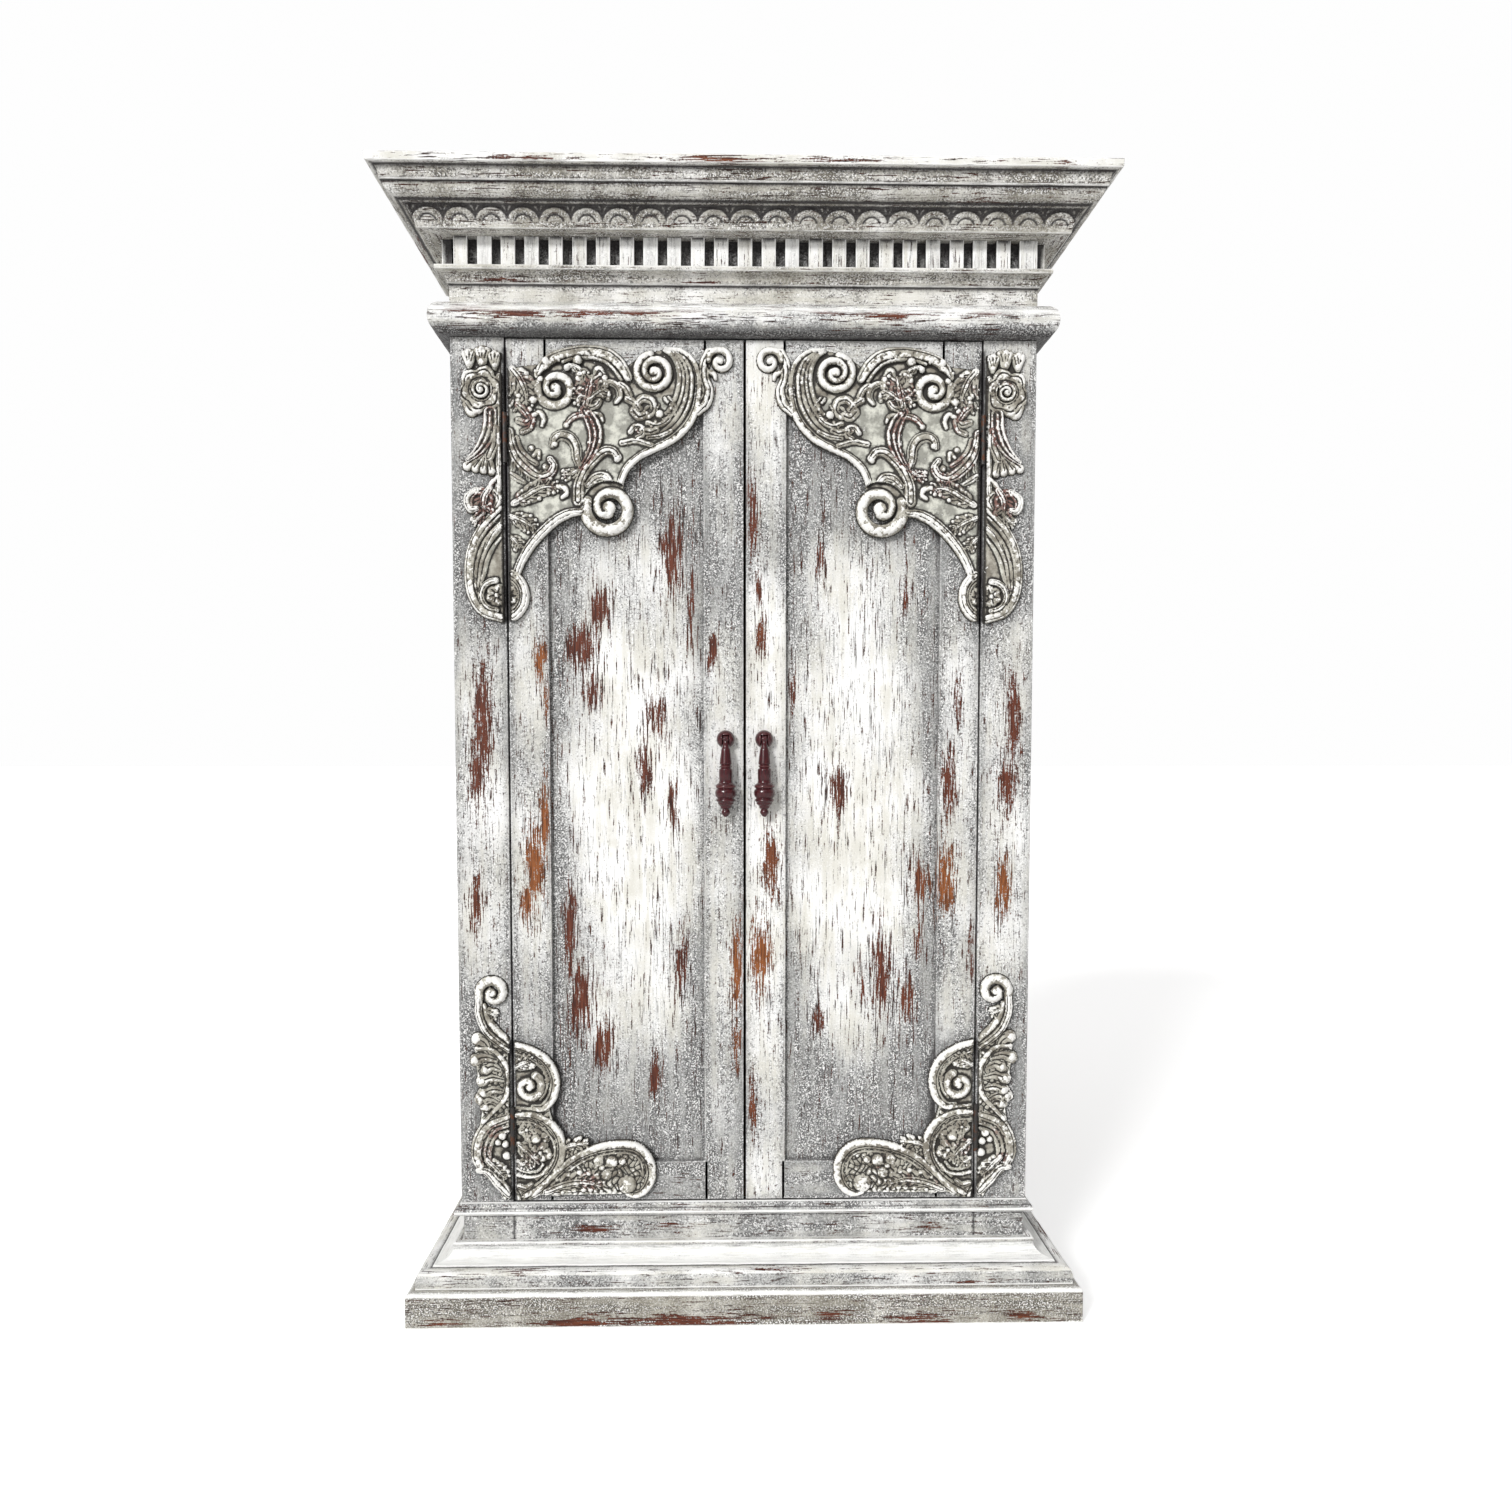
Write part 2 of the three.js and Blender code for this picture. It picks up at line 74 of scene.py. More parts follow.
# what a mesh tells the painted finish, point by point; the fifth is dirt with painted shade, the sixth
# rubbed paint with painted highlights
MARKS = ("grey", "wear", "chip", "orange", "dirt", "bright")


# ---- camera and light ----
def place_camera():
    """The view of the reference: chest height, a little left of centre, looking slightly down."""
    yaw = math.radians(1.3)
    pitch = math.radians(3.55)
    away, eye_height = 2.415, 1.079
    camera = bpy.data.objects.new("camera", bpy.data.cameras.new("camera"))
    bpy.context.scene.collection.objects.link(camera)
    turn = Matrix.Rotation(-yaw, 4, "Z") @ Matrix.Rotation(math.radians(90) - pitch, 4, "X")
    front = CASE_FRONT * MM
    eye = (-away * math.sin(yaw), front - away * math.cos(yaw), eye_height)
    camera.matrix_world = Matrix.Translation(eye) @ turn
    camera.data.sensor_width = 36
    camera.data.lens = 30.62
    camera.data.shift_x = 0.0074
    camera.data.shift_y = 0.0452
    bpy.context.scene.camera = camera


def overcast(name, direction, strength, angle):
    """A soft distant light, so the floor is evenly lit; direction points back at the light."""
    data = bpy.data.lights.new(name, "SUN")
    data.energy = strength
    data.angle = math.radians(angle)
    light = bpy.data.objects.new(name, data)
    bpy.context.scene.collection.objects.link(light)
    light.rotation_euler = Vector(direction).to_track_quat("Z", "Y").to_euler()


def studio():
    """White surround, a broad light over the front, a weak one behind and a soft one in front."""
    bpy.context.scene.view_settings.view_transform = "Standard"
    world = bpy.data.worlds.new("studio")
    bpy.context.scene.world = world
    world.use_nodes = True
    nodes = world.node_tree.nodes
    links = world.node_tree.links
    nodes.clear()
    seen = nodes.new("ShaderNodeBackground")
    seen.inputs["Color"].default_value = (0.99, 0.99, 0.99, 1)
    lighting = nodes.new("ShaderNodeBackground")
    lighting.inputs["Color"].default_value = (1.0, 0.99, 0.98, 1)
    lighting.inputs["Strength"].default_value = 0.26
    ray = nodes.new("ShaderNodeLightPath")
    either = nodes.new("ShaderNodeMixShader")
    out = nodes.new("ShaderNodeOutputWorld")
    links.new(ray.outputs["Is Camera Ray"], either.inputs["Fac"])
    links.new(lighting.outputs["Background"], either.inputs[1])
    links.new(seen.outputs["Background"], either.inputs[2])
    links.new(either.outputs["Shader"], out.inputs["Surface"])
    overcast("sky", (-0.25, -0.62, 1.0), 0.7, 60)
    overcast("key", (-0.60, -1.0, 0.55), 2.65, 14)
    overcast("sky_behind", (0.3, 1.0, 0.8), 0.55, 60)


def stage_floor():
    """A very broad pale floor that the camera sees glowing slightly, so it reads as white."""
    reach = 60.0
    glow = 0.42
    mesh = bpy.data.meshes.new("floor")
    corners = [(-reach, -reach, 0), (reach, -reach, 0), (reach, reach, 0), (-reach, reach, 0)]
    mesh.from_pydata(corners, [], [(0, 1, 2, 3)])
    floor = bpy.data.objects.new("floor", mesh)
    bpy.context.scene.collection.objects.link(floor)
    g = Graph("pale_floor")
    ray = g.tree.nodes.new("ShaderNodeLightPath")
    g.feed(g.shader.inputs["Emission Strength"], g.product(ray.outputs["Is Camera Ray"], glow))
    g.shader.inputs["Emission Color"].default_value = rgb(1, 1, 1)
    g.shader.inputs["Specular IOR Level"].default_value = 0.0
    mesh.materials.append(g.finish(rgb(0.95, 0.95, 0.95), 0.9))


# ---- node helpers ----
class Graph:
    """A material's node tree, with short calls for the nodes that the finishes share."""

    def __init__(self, name):
        self.material = bpy.data.materials.new(name)
        self.material.use_nodes = True
        self.tree = self.material.node_tree
        self.shader = self.tree.nodes["Principled BSDF"]

    def feed(self, socket, value):
        if isinstance(value, bpy.types.NodeSocket):
            self.tree.links.new(value, socket)
        else:
            socket.default_value = value

    def place(self, stretch):
        """Millimetres on the object, scaled along each axis by stretch."""
        where = self.tree.nodes.new("ShaderNodeTexCoord")
        scale = self.tree.nodes.new("ShaderNodeMapping")
        scale.inputs["Scale"].default_value = [s / MM for s in stretch]
        self.tree.links.new(where.outputs["Object"], scale.inputs["Vector"])
        return scale.outputs["Vector"]

    def drawn_out(self, grain, along, across):
        """Millimetres on the object, scaled one way along the grain axis and another across it."""
        return self.place([along if axis == grain else across for axis in range(3)])

    def noise(self, where, scale=1.0, detail=2.0, rough=0.5, warp=0.0):
        node = self.tree.nodes.new("ShaderNodeTexNoise")
        node.inputs["Scale"].default_value = scale
        node.inputs["Detail"].default_value = detail
        node.inputs["Roughness"].default_value = rough
        node.inputs["Distortion"].default_value = warp
        self.tree.links.new(where, node.inputs["Vector"])
        return node.outputs["Fac"]

    def mark(self, name):
        node = self.tree.nodes.new("ShaderNodeAttribute")
        node.attribute_name = name
        return node.outputs["Fac"]

    def product(self, a, b):
        node = self.tree.nodes.new("ShaderNodeMath")
        node.operation = "MULTIPLY"
        self.feed(node.inputs[0], a)
        self.feed(node.inputs[1], b)
        return node.outputs[0]

    def total(self, *terms):
        """Sum of (value, weight) terms."""
        result = 0.0
        for value, weight in terms:
            node = self.tree.nodes.new("ShaderNodeMath")
            node.operation = "MULTIPLY_ADD"
            self.feed(node.inputs[0], value)
            self.feed(node.inputs[1], weight)
            self.feed(node.inputs[2], result)
            result = node.outputs[0]
        return result

    def step(self, value, low, high):
        """0 below low, 1 above high, smooth between."""
        node = self.tree.nodes.new("ShaderNodeMapRange")
        node.interpolation_type = "SMOOTHSTEP"
        self.feed(node.inputs["Value"], value)
        self.feed(node.inputs["From Min"], low)
        self.feed(node.inputs["From Max"], high)
        return node.outputs["Result"]

    def blend(self, share, a, b):
        node = self.tree.nodes.new("ShaderNodeMix")
        node.data_type = "RGBA"
        self.feed(node.inputs["Factor"], share)
        self.feed(node.inputs["A"], a)
        self.feed(node.inputs["B"], b)
        return node.outputs["Result"]

    def coat(self, under, share, strength, colour):
        """A colour laid over another, where share says and as strongly as strength says."""
        return self.blend(self.product(share, strength), under, colour)

    def bump(self, height, strength, depth_mm):
        node = self.tree.nodes.new("ShaderNodeBump")
        node.inputs["Strength"].default_value = strength
        node.inputs["Distance"].default_value = depth_mm * MM
        self.feed(node.inputs["Height"], height)
        self.feed(self.shader.inputs["Normal"], node.outputs["Normal"])

    def finish(self, colour, rough):
        self.feed(self.shader.inputs["Base Color"], colour)
        self.feed(self.shader.inputs["Roughness"], rough)
        return self.material


def rgb(red, green, blue):
    """An opaque colour."""
    return (red, green, blue, 1.0)


# ---- finishes ----
CREAM = rgb(0.66, 0.645, 0.585)
WHITE = rgb(0.88, 0.875, 0.86)
WASH = rgb(0.262, 0.266, 0.262)
WARM_WASH = rgb(0.285, 0.265, 0.215)
# dark grey of the specks, and of the soot and painted shade in hollows
SOOT_AND_SHADE = rgb(0.030, 0.027, 0.028)
RED_WOOD = rgb(0.130, 0.036, 0.019)
ORANGE_WOOD = rgb(0.27, 0.088, 0.026)
DARK_WOOD = rgb(0.026, 0.011, 0.009)


def painted_finish(name, grain, wash=WASH):
    """White over grey wash over stained wood, rubbed through along the grain (axis 0, 1 or 2).

    Marks on the mesh steer it: grey wash, chip (bare wood), orange, wear (dashes), dirt and
    painted shade in hollows, and rubbed paint and painted highlights on edges.
    """
    g = Graph(name)
    across = 0.40
    along = 0.021
    fine = g.noise(g.drawn_out(grain, along, across), 1.0, 4, 0.65)
    broad = g.noise(g.drawn_out(grain, 0.22 * along, 0.16 * across), 1.0, 2, 0.55, 0.4)
    split = g.noise(g.drawn_out(grain, along, 0.30), 1.0, 5, 0.7)
    plain = g.place((1, 1, 1))
    speckle = g.noise(plain, 0.27, 3, 0.65)
    salt = g.noise(plain, 0.34, 2, 0.6)
    cloud = g.noise(plain, 0.011, 2, 0.5)
    blotch = g.noise(plain, 0.055, 3, 0.6)
    grey, chip, orange = g.mark("grey"), g.mark("chip"), g.mark("orange")
    wear, dirt, bright = g.mark("wear"), g.mark("dirt"), g.mark("bright")

    # paint film: cream clouds, brushed whiter along the grain
    film = g.step(g.total((cloud, 0.8), (broad, 0.7), (blotch, 0.3)), 0.68, 1.08)
    colour = g.blend(film, CREAM, WHITE)
    # grey wash with dark and light specks
    washed = g.total((grey, 1.0), (blotch, 0.5), (broad, 0.35), (1.0, -0.47))
    colour = g.blend(g.step(washed, 0.05, 1.25), colour, wash)
    busy = g.total((g.step(broad, 0.38, 0.60), 0.7), (1.0, 0.4))
    dark_specks = g.step(g.total((speckle, 1.0), (washed, 0.26)), 0.68, 0.74)
    colour = g.coat(colour, g.product(dark_specks, busy), 0.68, SOOT_AND_SHADE)
    light_specks = g.step(g.total((salt, 1.0), (washed, 0.05)), 0.58, 0.64)
    colour = g.coat(colour, g.product(light_specks, busy), 0.80, WHITE)
    # fine brush lines and dashes rubbed through to the dark stain
    lines = g.step(g.total((fine, 1.0), (broad, 0.25), (washed, 0.06)), 0.66, 0.84)
    colour = g.coat(colour, lines, 0.55, wash)
    dashes = g.step(g.total((fine, 1.0), (wear, 0.20), (broad, 0.34), (blotch, 0.16)), 0.985, 1.03)
    colour = g.coat(colour, dashes, 0.92, DARK_WOOD)
    # chips down to bare wood, with a dark rim
    ragged = g.total((split, 2.3), (fine, 2.3), (speckle, 0.9), (1.0, -2.66))
    open_wood = g.total((ragged, 1.0), (chip, 0.68), (wear, 0.06))
    rim = g.step(open_wood, 0.43, 0.49)
    bare = g.step(open_wood, 0.50, 0.54)
    wood = g.blend(g.step(g.total((orange, 1.0), (blotch, 0.3)), 0.2, 1.0), RED_WOOD, ORANGE_WOOD)
    wood = g.blend(g.step(fine, 0.45, 0.7), wood, DARK_WOOD)
    colour = g.coat(colour, rim, 0.85, DARK_WOOD)
    colour = g.blend(bare, colour, wood)
    # soot and painted shade in the hollows, rubbed bright paint and painted highlights on the edges
    soot_and_shade = g.step(g.total((dirt, 1.0), (speckle, 0.5), (blotch, 0.3), (1.0, -0.4)), 0.12, 0.95)
    colour = g.coat(colour, soot_and_shade, 0.93, SOOT_AND_SHADE)
    highlighted_and_rubbed = g.step(g.total((bright, 1.0), (split, 0.9), (speckle, 0.4), (1.0, -0.65)), 0.25, 0.7)
    colour = g.coat(colour, highlighted_and_rubbed, 0.85, rgb(0.93, 0.93, 0.91))
    rough = g.total((bare, -0.18), (speckle, 0.2), (1.0, 0.58))
    g.shader.inputs["Specular IOR Level"].default_value = 0.25
    g.bump(g.total((bare, -1.0), (rim, -0.4), (dashes, -0.6), (fine, 0.5), (speckle, 0.45)), 0.55, 0.7)
    return g.finish(colour, rough)


def carved_finish():
    """Carving: brown hollows with soot and painted shade, cream ground, and white ridges dry-brushed and
    with painted highlights.
    """
    g = Graph("carved_paint")
    plain = g.place((1, 1, 1))
    speckle = g.noise(plain, 0.5, 3, 0.65)
    blotch = g.noise(plain, 0.045, 3, 0.6)
    patch = g.noise(plain, 0.028, 2, 0.5)
    grain = g.noise(plain, 0.22, 3, 0.6)
    dirt, bright, chip, ground = g.mark("dirt"), g.mark("bright"), g.mark("chip"), g.mark("grey")
    colour = g.blend(g.step(blotch, 0.35, 0.65), rgb(0.20, 0.18, 0.145), rgb(0.45, 0.43, 0.37))
    pale = g.blend(g.step(blotch, 0.40, 0.62), rgb(0.30, 0.30, 0.265), rgb(0.63, 0.63, 0.56))
    colour = g.coat(colour, ground, 0.9, pale)
    specks = g.step(speckle, 0.58, 0.68)
    colour = g.coat(colour, specks, 0.55, rgb(0.12, 0.11, 0.11))
    red = g.step(g.total((chip, 1.0), (patch, 1.2), (grain, 0.6), (1.0, -0.8)), 0.42, 0.60)
    colour = g.coat(colour, red, 0.8, rgb(0.16, 0.055, 0.045))
    # soot and painted shade in the hollows
    soot_and_shade = g.step(g.total((dirt, 1.0), (grain, 0.7), (patch, 0.6), (1.0, -0.62)), 0.08, 0.56)
    colour = g.coat(colour, soot_and_shade, 0.97, rgb(0.026, 0.023, 0.020))
    # dry-brushed white and painted highlights on the ridges
    ridges = g.total((bright, 1.0), (grain, 1.5), (patch, 1.0), (speckle, 0.4), (1.0, -1.45))
    highlighted_and_rubbed = g.step(ridges, 0.34, 0.60)
    colour = g.coat(colour, highlighted_and_rubbed, 0.9, rgb(0.88, 0.87, 0.84))
    g.shader.inputs["Specular IOR Level"].default_value = 0.3
    g.bump(g.total((grain, 1.0), (speckle, 0.7)), 0.5, 0.8)
    return g.finish(colour, g.total((soot_and_shade, 0.15), (speckle, 0.2), (1.0, 0.48)))


def wood_finish(name, grain):
    """Plain aged boards inside and behind."""
    g = Graph(name)
    fine = g.noise(g.drawn_out(grain, 0.02, 1.0), 0.8, 4, 0.6)
    ring = g.noise(g.drawn_out(grain, 0.006, 0.05), 1.0, 3, 0.6, 1.2)
    stain = g.noise(g.place((1, 1, 1)), 0.012, 3, 0.6)
    colour = g.blend(g.step(ring, 0.3, 0.7), rgb(0.20, 0.105, 0.05), rgb(0.33, 0.19, 0.10))
    colour = g.coat(colour, g.step(fine, 0.5, 0.75), 0.6, rgb(0.09, 0.045, 0.02))
    colour = g.coat(colour, g.step(stain, 0.45, 0.8), 0.5, rgb(0.10, 0.06, 0.035))
    # dirt and painted shade where the mark says
    colour = g.coat(colour, g.mark("dirt"), 0.9, rgb(0.02, 0.015, 0.01))
    g.bump(g.total((fine, 1.0), (ring, 0.5)), 0.4, 0.5)
    return g.finish(colour, g.total((fine, 0.25), (1.0, 0.5)))


def turned_finish():
    """Dark red-brown turned wood under a clear gloss."""
    g = Graph("turned_wood")
    grain = g.noise(g.place((1, 1, 0.12)), 0.5, 3, 0.6)
    stain = g.noise(g.place((1, 1, 1)), 0.05, 2, 0.5)
    colour = g.blend(g.step(grain, 0.35, 0.7), rgb(0.068, 0.011, 0.014), rgb(0.024, 0.005, 0.007))
    # painted highlights where the mark says, broken up by the stain
    highlighted_and_rubbed = g.product(g.mark("bright"), g.step(stain, 0.3, 0.6))
    colour = g.blend(highlighted_and_rubbed, colour, rgb(0.09, 0.025, 0.026))
    g.shader.inputs["Specular IOR Level"].default_value = 0.2
    g.shader.inputs["Coat Weight"].default_value = 0.6
    g.shader.inputs["Coat Roughness"].default_value = 0.2
    g.bump(grain, 0.15, 0.3)
    return g.finish(colour, g.total((grain, 0.15), (1.0, 0.2)))


def iron_finish():
    """Dark forged iron with rust spots."""
    g = Graph("hinge_iron")
    pit = g.noise(g.place((1, 1, 1)), 0.9, 3, 0.6)
    rust = g.noise(g.place((1, 1, 1)), 0.08, 3, 0.6)
    rusted = g.step(rust, 0.5, 0.65)
    colour = g.blend(rusted, rgb(0.055, 0.052, 0.05), rgb(0.13, 0.055, 0.03))
    g.shader.inputs["Metallic"].default_value = 0.7
    g.bump(pit, 0.4, 0.3)
    return g.finish(colour, g.total((rusted, 0.25), (pit, 0.2), (1.0, 0.38)))


# ---- mesh helpers ----
def piece(name, points, faces, body, material, nodes=(), marks=None, sharp=42):
    """One Blender piece from points in millimetres. It stands for the CAD nodes named."""
    mesh = bpy.data.meshes.new(name)
    mesh.from_pydata((np.asarray(points, float) * MM).tolist(), [], [list(f) for f in faces])
    shape = bmesh.new()
    shape.from_mesh(mesh)
    bmesh.ops.recalc_face_normals(shape, faces=shape.faces)
    shape.to_mesh(mesh)
    shape.free()
    for mark, values in (marks or {}).items():
        layer = mesh.attributes.new(mark, "FLOAT", "POINT")
        layer.data.foreach_set("value", np.asarray(values, np.float32))
    mesh.polygons.foreach_set("use_smooth", np.ones(len(mesh.polygons), bool))
    mesh.set_sharp_from_angle(angle=math.radians(sharp))
    mesh.materials.append(material)
    made = bpy.data.objects.new(name, mesh)
    bpy.context.scene.collection.objects.link(made)
    if nodes:
        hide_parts(*nodes)
    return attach(made, body)


def merge(parts):
    """Several (points, faces, marks) as one."""
    points, faces, start = [], [], 0
    marks = {key: [] for key in parts[0][2]}
    for part_points, part_faces, part_marks in parts:
        points.append(part_points)
        faces += [[v + start for v in face] for face in part_faces]
        for key in marks:
            marks[key].append(part_marks[key])
        start += len(part_points)
    return np.concatenate(points), faces, {key: np.concatenate(m) for key, m in marks.items()}


def grid_lines(low, high, step, radius):
    """Grid lines from low to high, close together in the rounded edges."""
    rim = np.array([0, 0.3, 1.0]) * radius
    middle = np.linspace(low + 2.2 * radius, high - 2.2 * radius,
                         max(2, round((high - low) / step)))
    return np.concatenate([low + rim, middle, (high - rim)[::-1]])


def box_layers():
    """Slices that pick each of the six outer layers of a grid."""
    for axis in range(3):
        for end in (0, -1):
            layer = [slice(None)] * 3
            layer[axis] = end
            yield tuple(layer)


def rounded_box(low, high, steps, radius):
    """Closed box with rounded edges and a grid of quads on each face: (points, faces)."""
    axes = [grid_lines(low[a], high[a], steps[a], radius) for a in range(3)]
    sizes = [len(axis) for axis in axes]
    skin = np.zeros(sizes, bool)
    for layer in box_layers():
        skin[layer] = True
    index = np.full(sizes, -1)
    index[skin] = np.arange(skin.sum())
    points = np.stack(np.meshgrid(*axes, indexing="ij"), -1)[skin]
    faces = []
    for layer in box_layers():
        at = index[layer]
        quads = np.stack([at[:-1, :-1], at[1:, :-1], at[1:, 1:], at[:-1, 1:]], -1)
        faces += quads.reshape(-1, 4).tolist()
    core = np.clip(points, np.array(low) + radius, np.array(high) - radius)
    out = points - core
    length = np.linalg.norm(out, axis=1, keepdims=True)
    return core + out * (radius / np.maximum(length, 1e-6)), faces


def bell(offset, width):
    """1 at no offset, falling off smoothly over width."""
    return np.exp(-(offset / width) ** 2)


def ripple(*terms):
    """Slow irregular variation from -1 to 1: each term is (coordinate, wavelength, phase)."""
    total = sum(np.sin(2 * math.pi * at / wave + phase) for at, wave, phase in terms)
    return total / len(terms)


def marked(count, **given):
    """The six marks that steer the painted finish, 0 where they aren't given."""
    return {key: np.zeros(count) + given.get(key, 0.0) for key in MARKS}


def deepen(marks, key, values):
    """Raise a mark where the new values are higher."""
    marks[key] = np.maximum(marks[key], values)


def on_run(side, along, reach, height):
    """Points that stand proud of the case's front (side 0) or of a side (-1 or 1) by reach."""
    if side == 0:
        return np.stack([along, CASE_FRONT - reach, height], -1)
    return np.stack([side * (HALF + reach), along, height], -1)


# ---- mouldings ----
def traced(steps, curve_steps=8):
    """Profile corners; a step of four numbers is a curve's control point and its end."""
    points = [np.array(steps[0], float)]
    for step in steps[1:]:
        if len(step) == 2:
            points.append(np.array(step, float))
            continue
        start, control, end = points[-1], np.array(step[:2], float), np.array(step[2:], float)
        for t in np.linspace(0, 1, curve_steps + 1)[1:]:
            points.append((1 - t) ** 2 * start + 2 * t * (1 - t) * control + t * t * end)
    return points


def eased_corners(raw, ease):
    """Loop with its corners cut round, and each point's kind: 1 convex, -1 hollow, 0 plain."""
    count = len(raw)
    area = sum(raw[i][0] * raw[(i + 1) % count][1] - raw[(i + 1) % count][0] * raw[i][1]
               for i in range(count))
    loop, corner = [], []
    for i, at in enumerate(raw):
        before, after = raw[i - 1] - at, raw[(i + 1) % count] - at
        long_before, long_after = np.linalg.norm(before), np.linalg.norm(after)
        turn = (after[0] * before[1] - after[1] * before[0]) * math.copysign(1, area)
        bend = turn / (long_before * long_after)
        # a point along a curve stays as it is
        if abs(bend) < 0.35 and before @ after < 0:
            loop.append(at)
            corner.append(0.0)
            continue
        cut = min(ease, 0.4 * long_before, 0.4 * long_after)
        if bend < 0:
            cut *= 0.35
        first = at + before / long_before * cut
        last = at + after / long_after * cut
        for t in (0, 0.3, 0.7, 1):
            loop.append((1 - t) ** 2 * first + 2 * t * (1 - t) * at + t * t * last)
            corner.append(math.copysign(1, bend))
    return loop, corner


def worn_profile(steps, spacing, ease=1.3):
    """Closed loop with eased corners: (points, dirt and painted shade, rubbed paint and painted
    highlights) along it.
    """
    loop, corner = eased_corners(traced(steps), ease)
    points, kinds = [], []
    for i, at in enumerate(loop):
        points.append(at)
        kinds.append(corner[i])
        after = loop[(i + 1) % len(loop)]
        extra = int(np.linalg.norm(after - at) / spacing)
        for k in range(1, extra + 1):
            points.append(at + (after - at) * k / (extra + 1))
            kinds.append(0.0)
    points, kinds = np.array(points), np.array(kinds)
    apart = np.linalg.norm(points[:, None] - points[None], axis=2)
    # dirt and painted shade near the hollow corners, rubbed paint and painted highlights near the convex
    # ones
    dirt = (np.exp(-apart / 6.0) * (kinds < 0)).max(1)
    bright = (np.exp(-apart / 1.8) * (kinds > 0)).max(1)
    return points, dirt, bright


def moulding(steps, side, step=6.0, spacing=4.0, carve=None):
    """A run of moulding: (points, faces, marks). carve(along, profile points) raises the face."""
    loop, dirt, bright = worn_profile(steps, spacing)
    depth = CASE_BACK - CASE_FRONT
    length = depth if side else 2 * HALF
    # how far along the run each section stands, from 0 to 1
    stations = np.linspace(0, 1, int(length / step) + 1)[:, None]
    reach, height = loop[None, :, 0], loop[None, :, 1]
    # the face isn't quite straight: it sways as on a run 1100 mm long, whatever its length
    even = stations * 1100
    sway = 0.35 * ripple((even, 310, side), (even, 127, height[0, 0])) * (reach > 5)
    if side == 0:
        along = (2 * stations - 1) * (HALF + reach - MITRE)
    else:
        along = CASE_FRONT - reach + MITRE + stations * (depth + reach - MITRE)
    extra = groove_shade = ridge_highlight = np.zeros(along.shape)
    if carve:
        extra, groove_shade, ridge_highlight = carve(along, loop)
    points = on_run(side, along, reach + sway + extra, np.broadcast_to(height, along.shape))
    rows, columns = along.shape
    index = np.arange(rows * columns).reshape(rows, columns)
    after = np.roll(index, -1, axis=1)
    quads = np.stack([index[:-1], index[1:], after[1:], after[:-1]], -1).reshape(-1, 4)
    faces = quads.tolist() + [index[0].tolist(), index[-1].tolist()[::-1]]
    # the carving's cuts add painted shade, its rims and pips painted highlights
    marks = marked(rows * columns, dirt=np.clip(dirt + 1.2 * groove_shade, 0, 1).ravel(),
                   bright=np.clip(bright + ridge_highlight, 0, 1).ravel())
    return points.reshape(-1, 3), faces, marks


# Profiles, as (reach past the case, height); a group of four numbers is a curve.
PLINTH = [
    (40, 0), (89, 0), (89, 56), (89, PLINTH_TOP - GAP, 77, PLINTH_TOP - GAP), (40, PLINTH_TOP - GAP),
]
BASE_CAP = [
    (-3.2, PLINTH_TOP), (73.5, PLINTH_TOP), (74.5, 83), (73, 98, 61, 100), (47, 101), (46, 104),
    (17, 106, 13, 125), (15.5, 130, 13, CAP_TOP - GAP), (-3.2, CAP_TOP - GAP),
]
BASE_RAIL = [
    (-BOARD, 0), (-3.5, 0), (-3.5, 185), (10, 185), (14, 189, 12, 194),
    (8, 201, 1, CASE_BOTTOM - GAP), (-BOARD, CASE_BOTTOM - GAP),
]
TORUS = [
    (-BOARD, CASE_TOP), (0, CASE_TOP), (14, 1825), (34, 1830, 34, 1853), (34, 1877, 12, 1882),
    (2, TORUS_TOP - GAP), (-BOARD, TORUS_TOP - GAP),
]
FRIEZE = [
    (-BOARD, TORUS_TOP), (0, TORUS_TOP), (0, 1917), (3.4, 1918), (5, 1935, 20, 1937), (22.5, 1938),
    (22.5, FRIEZE_TOP - GAP), (-BOARD, FRIEZE_TOP - GAP),
]
CROWN = [
    (-BOARD, DENTIL_TOP), (48, DENTIL_TOP), (50, 2010), (63, 2035), (70, 2036), (79, 2040),
    (92, 2044, 95, 2057), (96, 2061), (100, 2061), (101, 2078, 107, 2084), (119, 2085.5),
    (120, HEIGHT), (-BOARD, HEIGHT),
]
# the crown's carved band and the width of one scallop
BAND_LOW, BAND_HIGH = 2008.0, 2036.0
SCALLOP = 56.6


def scallops(along, loop):
    """Row of arches with a pip in each and a dart between them, cut in the crown's band."""
    height = (loop[None, :, 1] - BAND_LOW) / (BAND_HIGH - BAND_LOW)
    on_band = (height > 0.02) & (height < 1.0) & (loop[None, :, 0] > 40)
    inside = on_band * np.clip(np.minimum(height, 1.0 - height) * 9, 0, 1)
    across = (along + SCALLOP / 2) % SCALLOP - SCALLOP / 2
    reach = np.sqrt((across / 31.0) ** 2 + (height / 0.92) ** 2)
    arch = bell(reach - 1.0, 0.10)
    inner = bell(reach - 0.50, 0.08) * (height > 0.08)
    pip = bell(reach - 0.22, 0.2)
    rim = bell(reach - 0.80, 0.10)
    dart = bell(np.abs(across) - SCALLOP / 2, 1.3 + 2.4 * np.clip(height - 0.3, 0, 1))
    dart = dart * (height > 0.55)
    cut = np.maximum(np.maximum(arch, 0.75 * inner), dart)
    extra = inside * (1.1 * rim + 0.9 * pip - 2.8 * cut)
    # painted shade in the cuts, painted highlights on the rims and pips
    groove_shade = inside * cut
    ridge_highlight = inside * np.clip(rim + 0.8 * pip - cut, 0, 1) * 0.6
    return extra, groove_shade, ridge_highlight


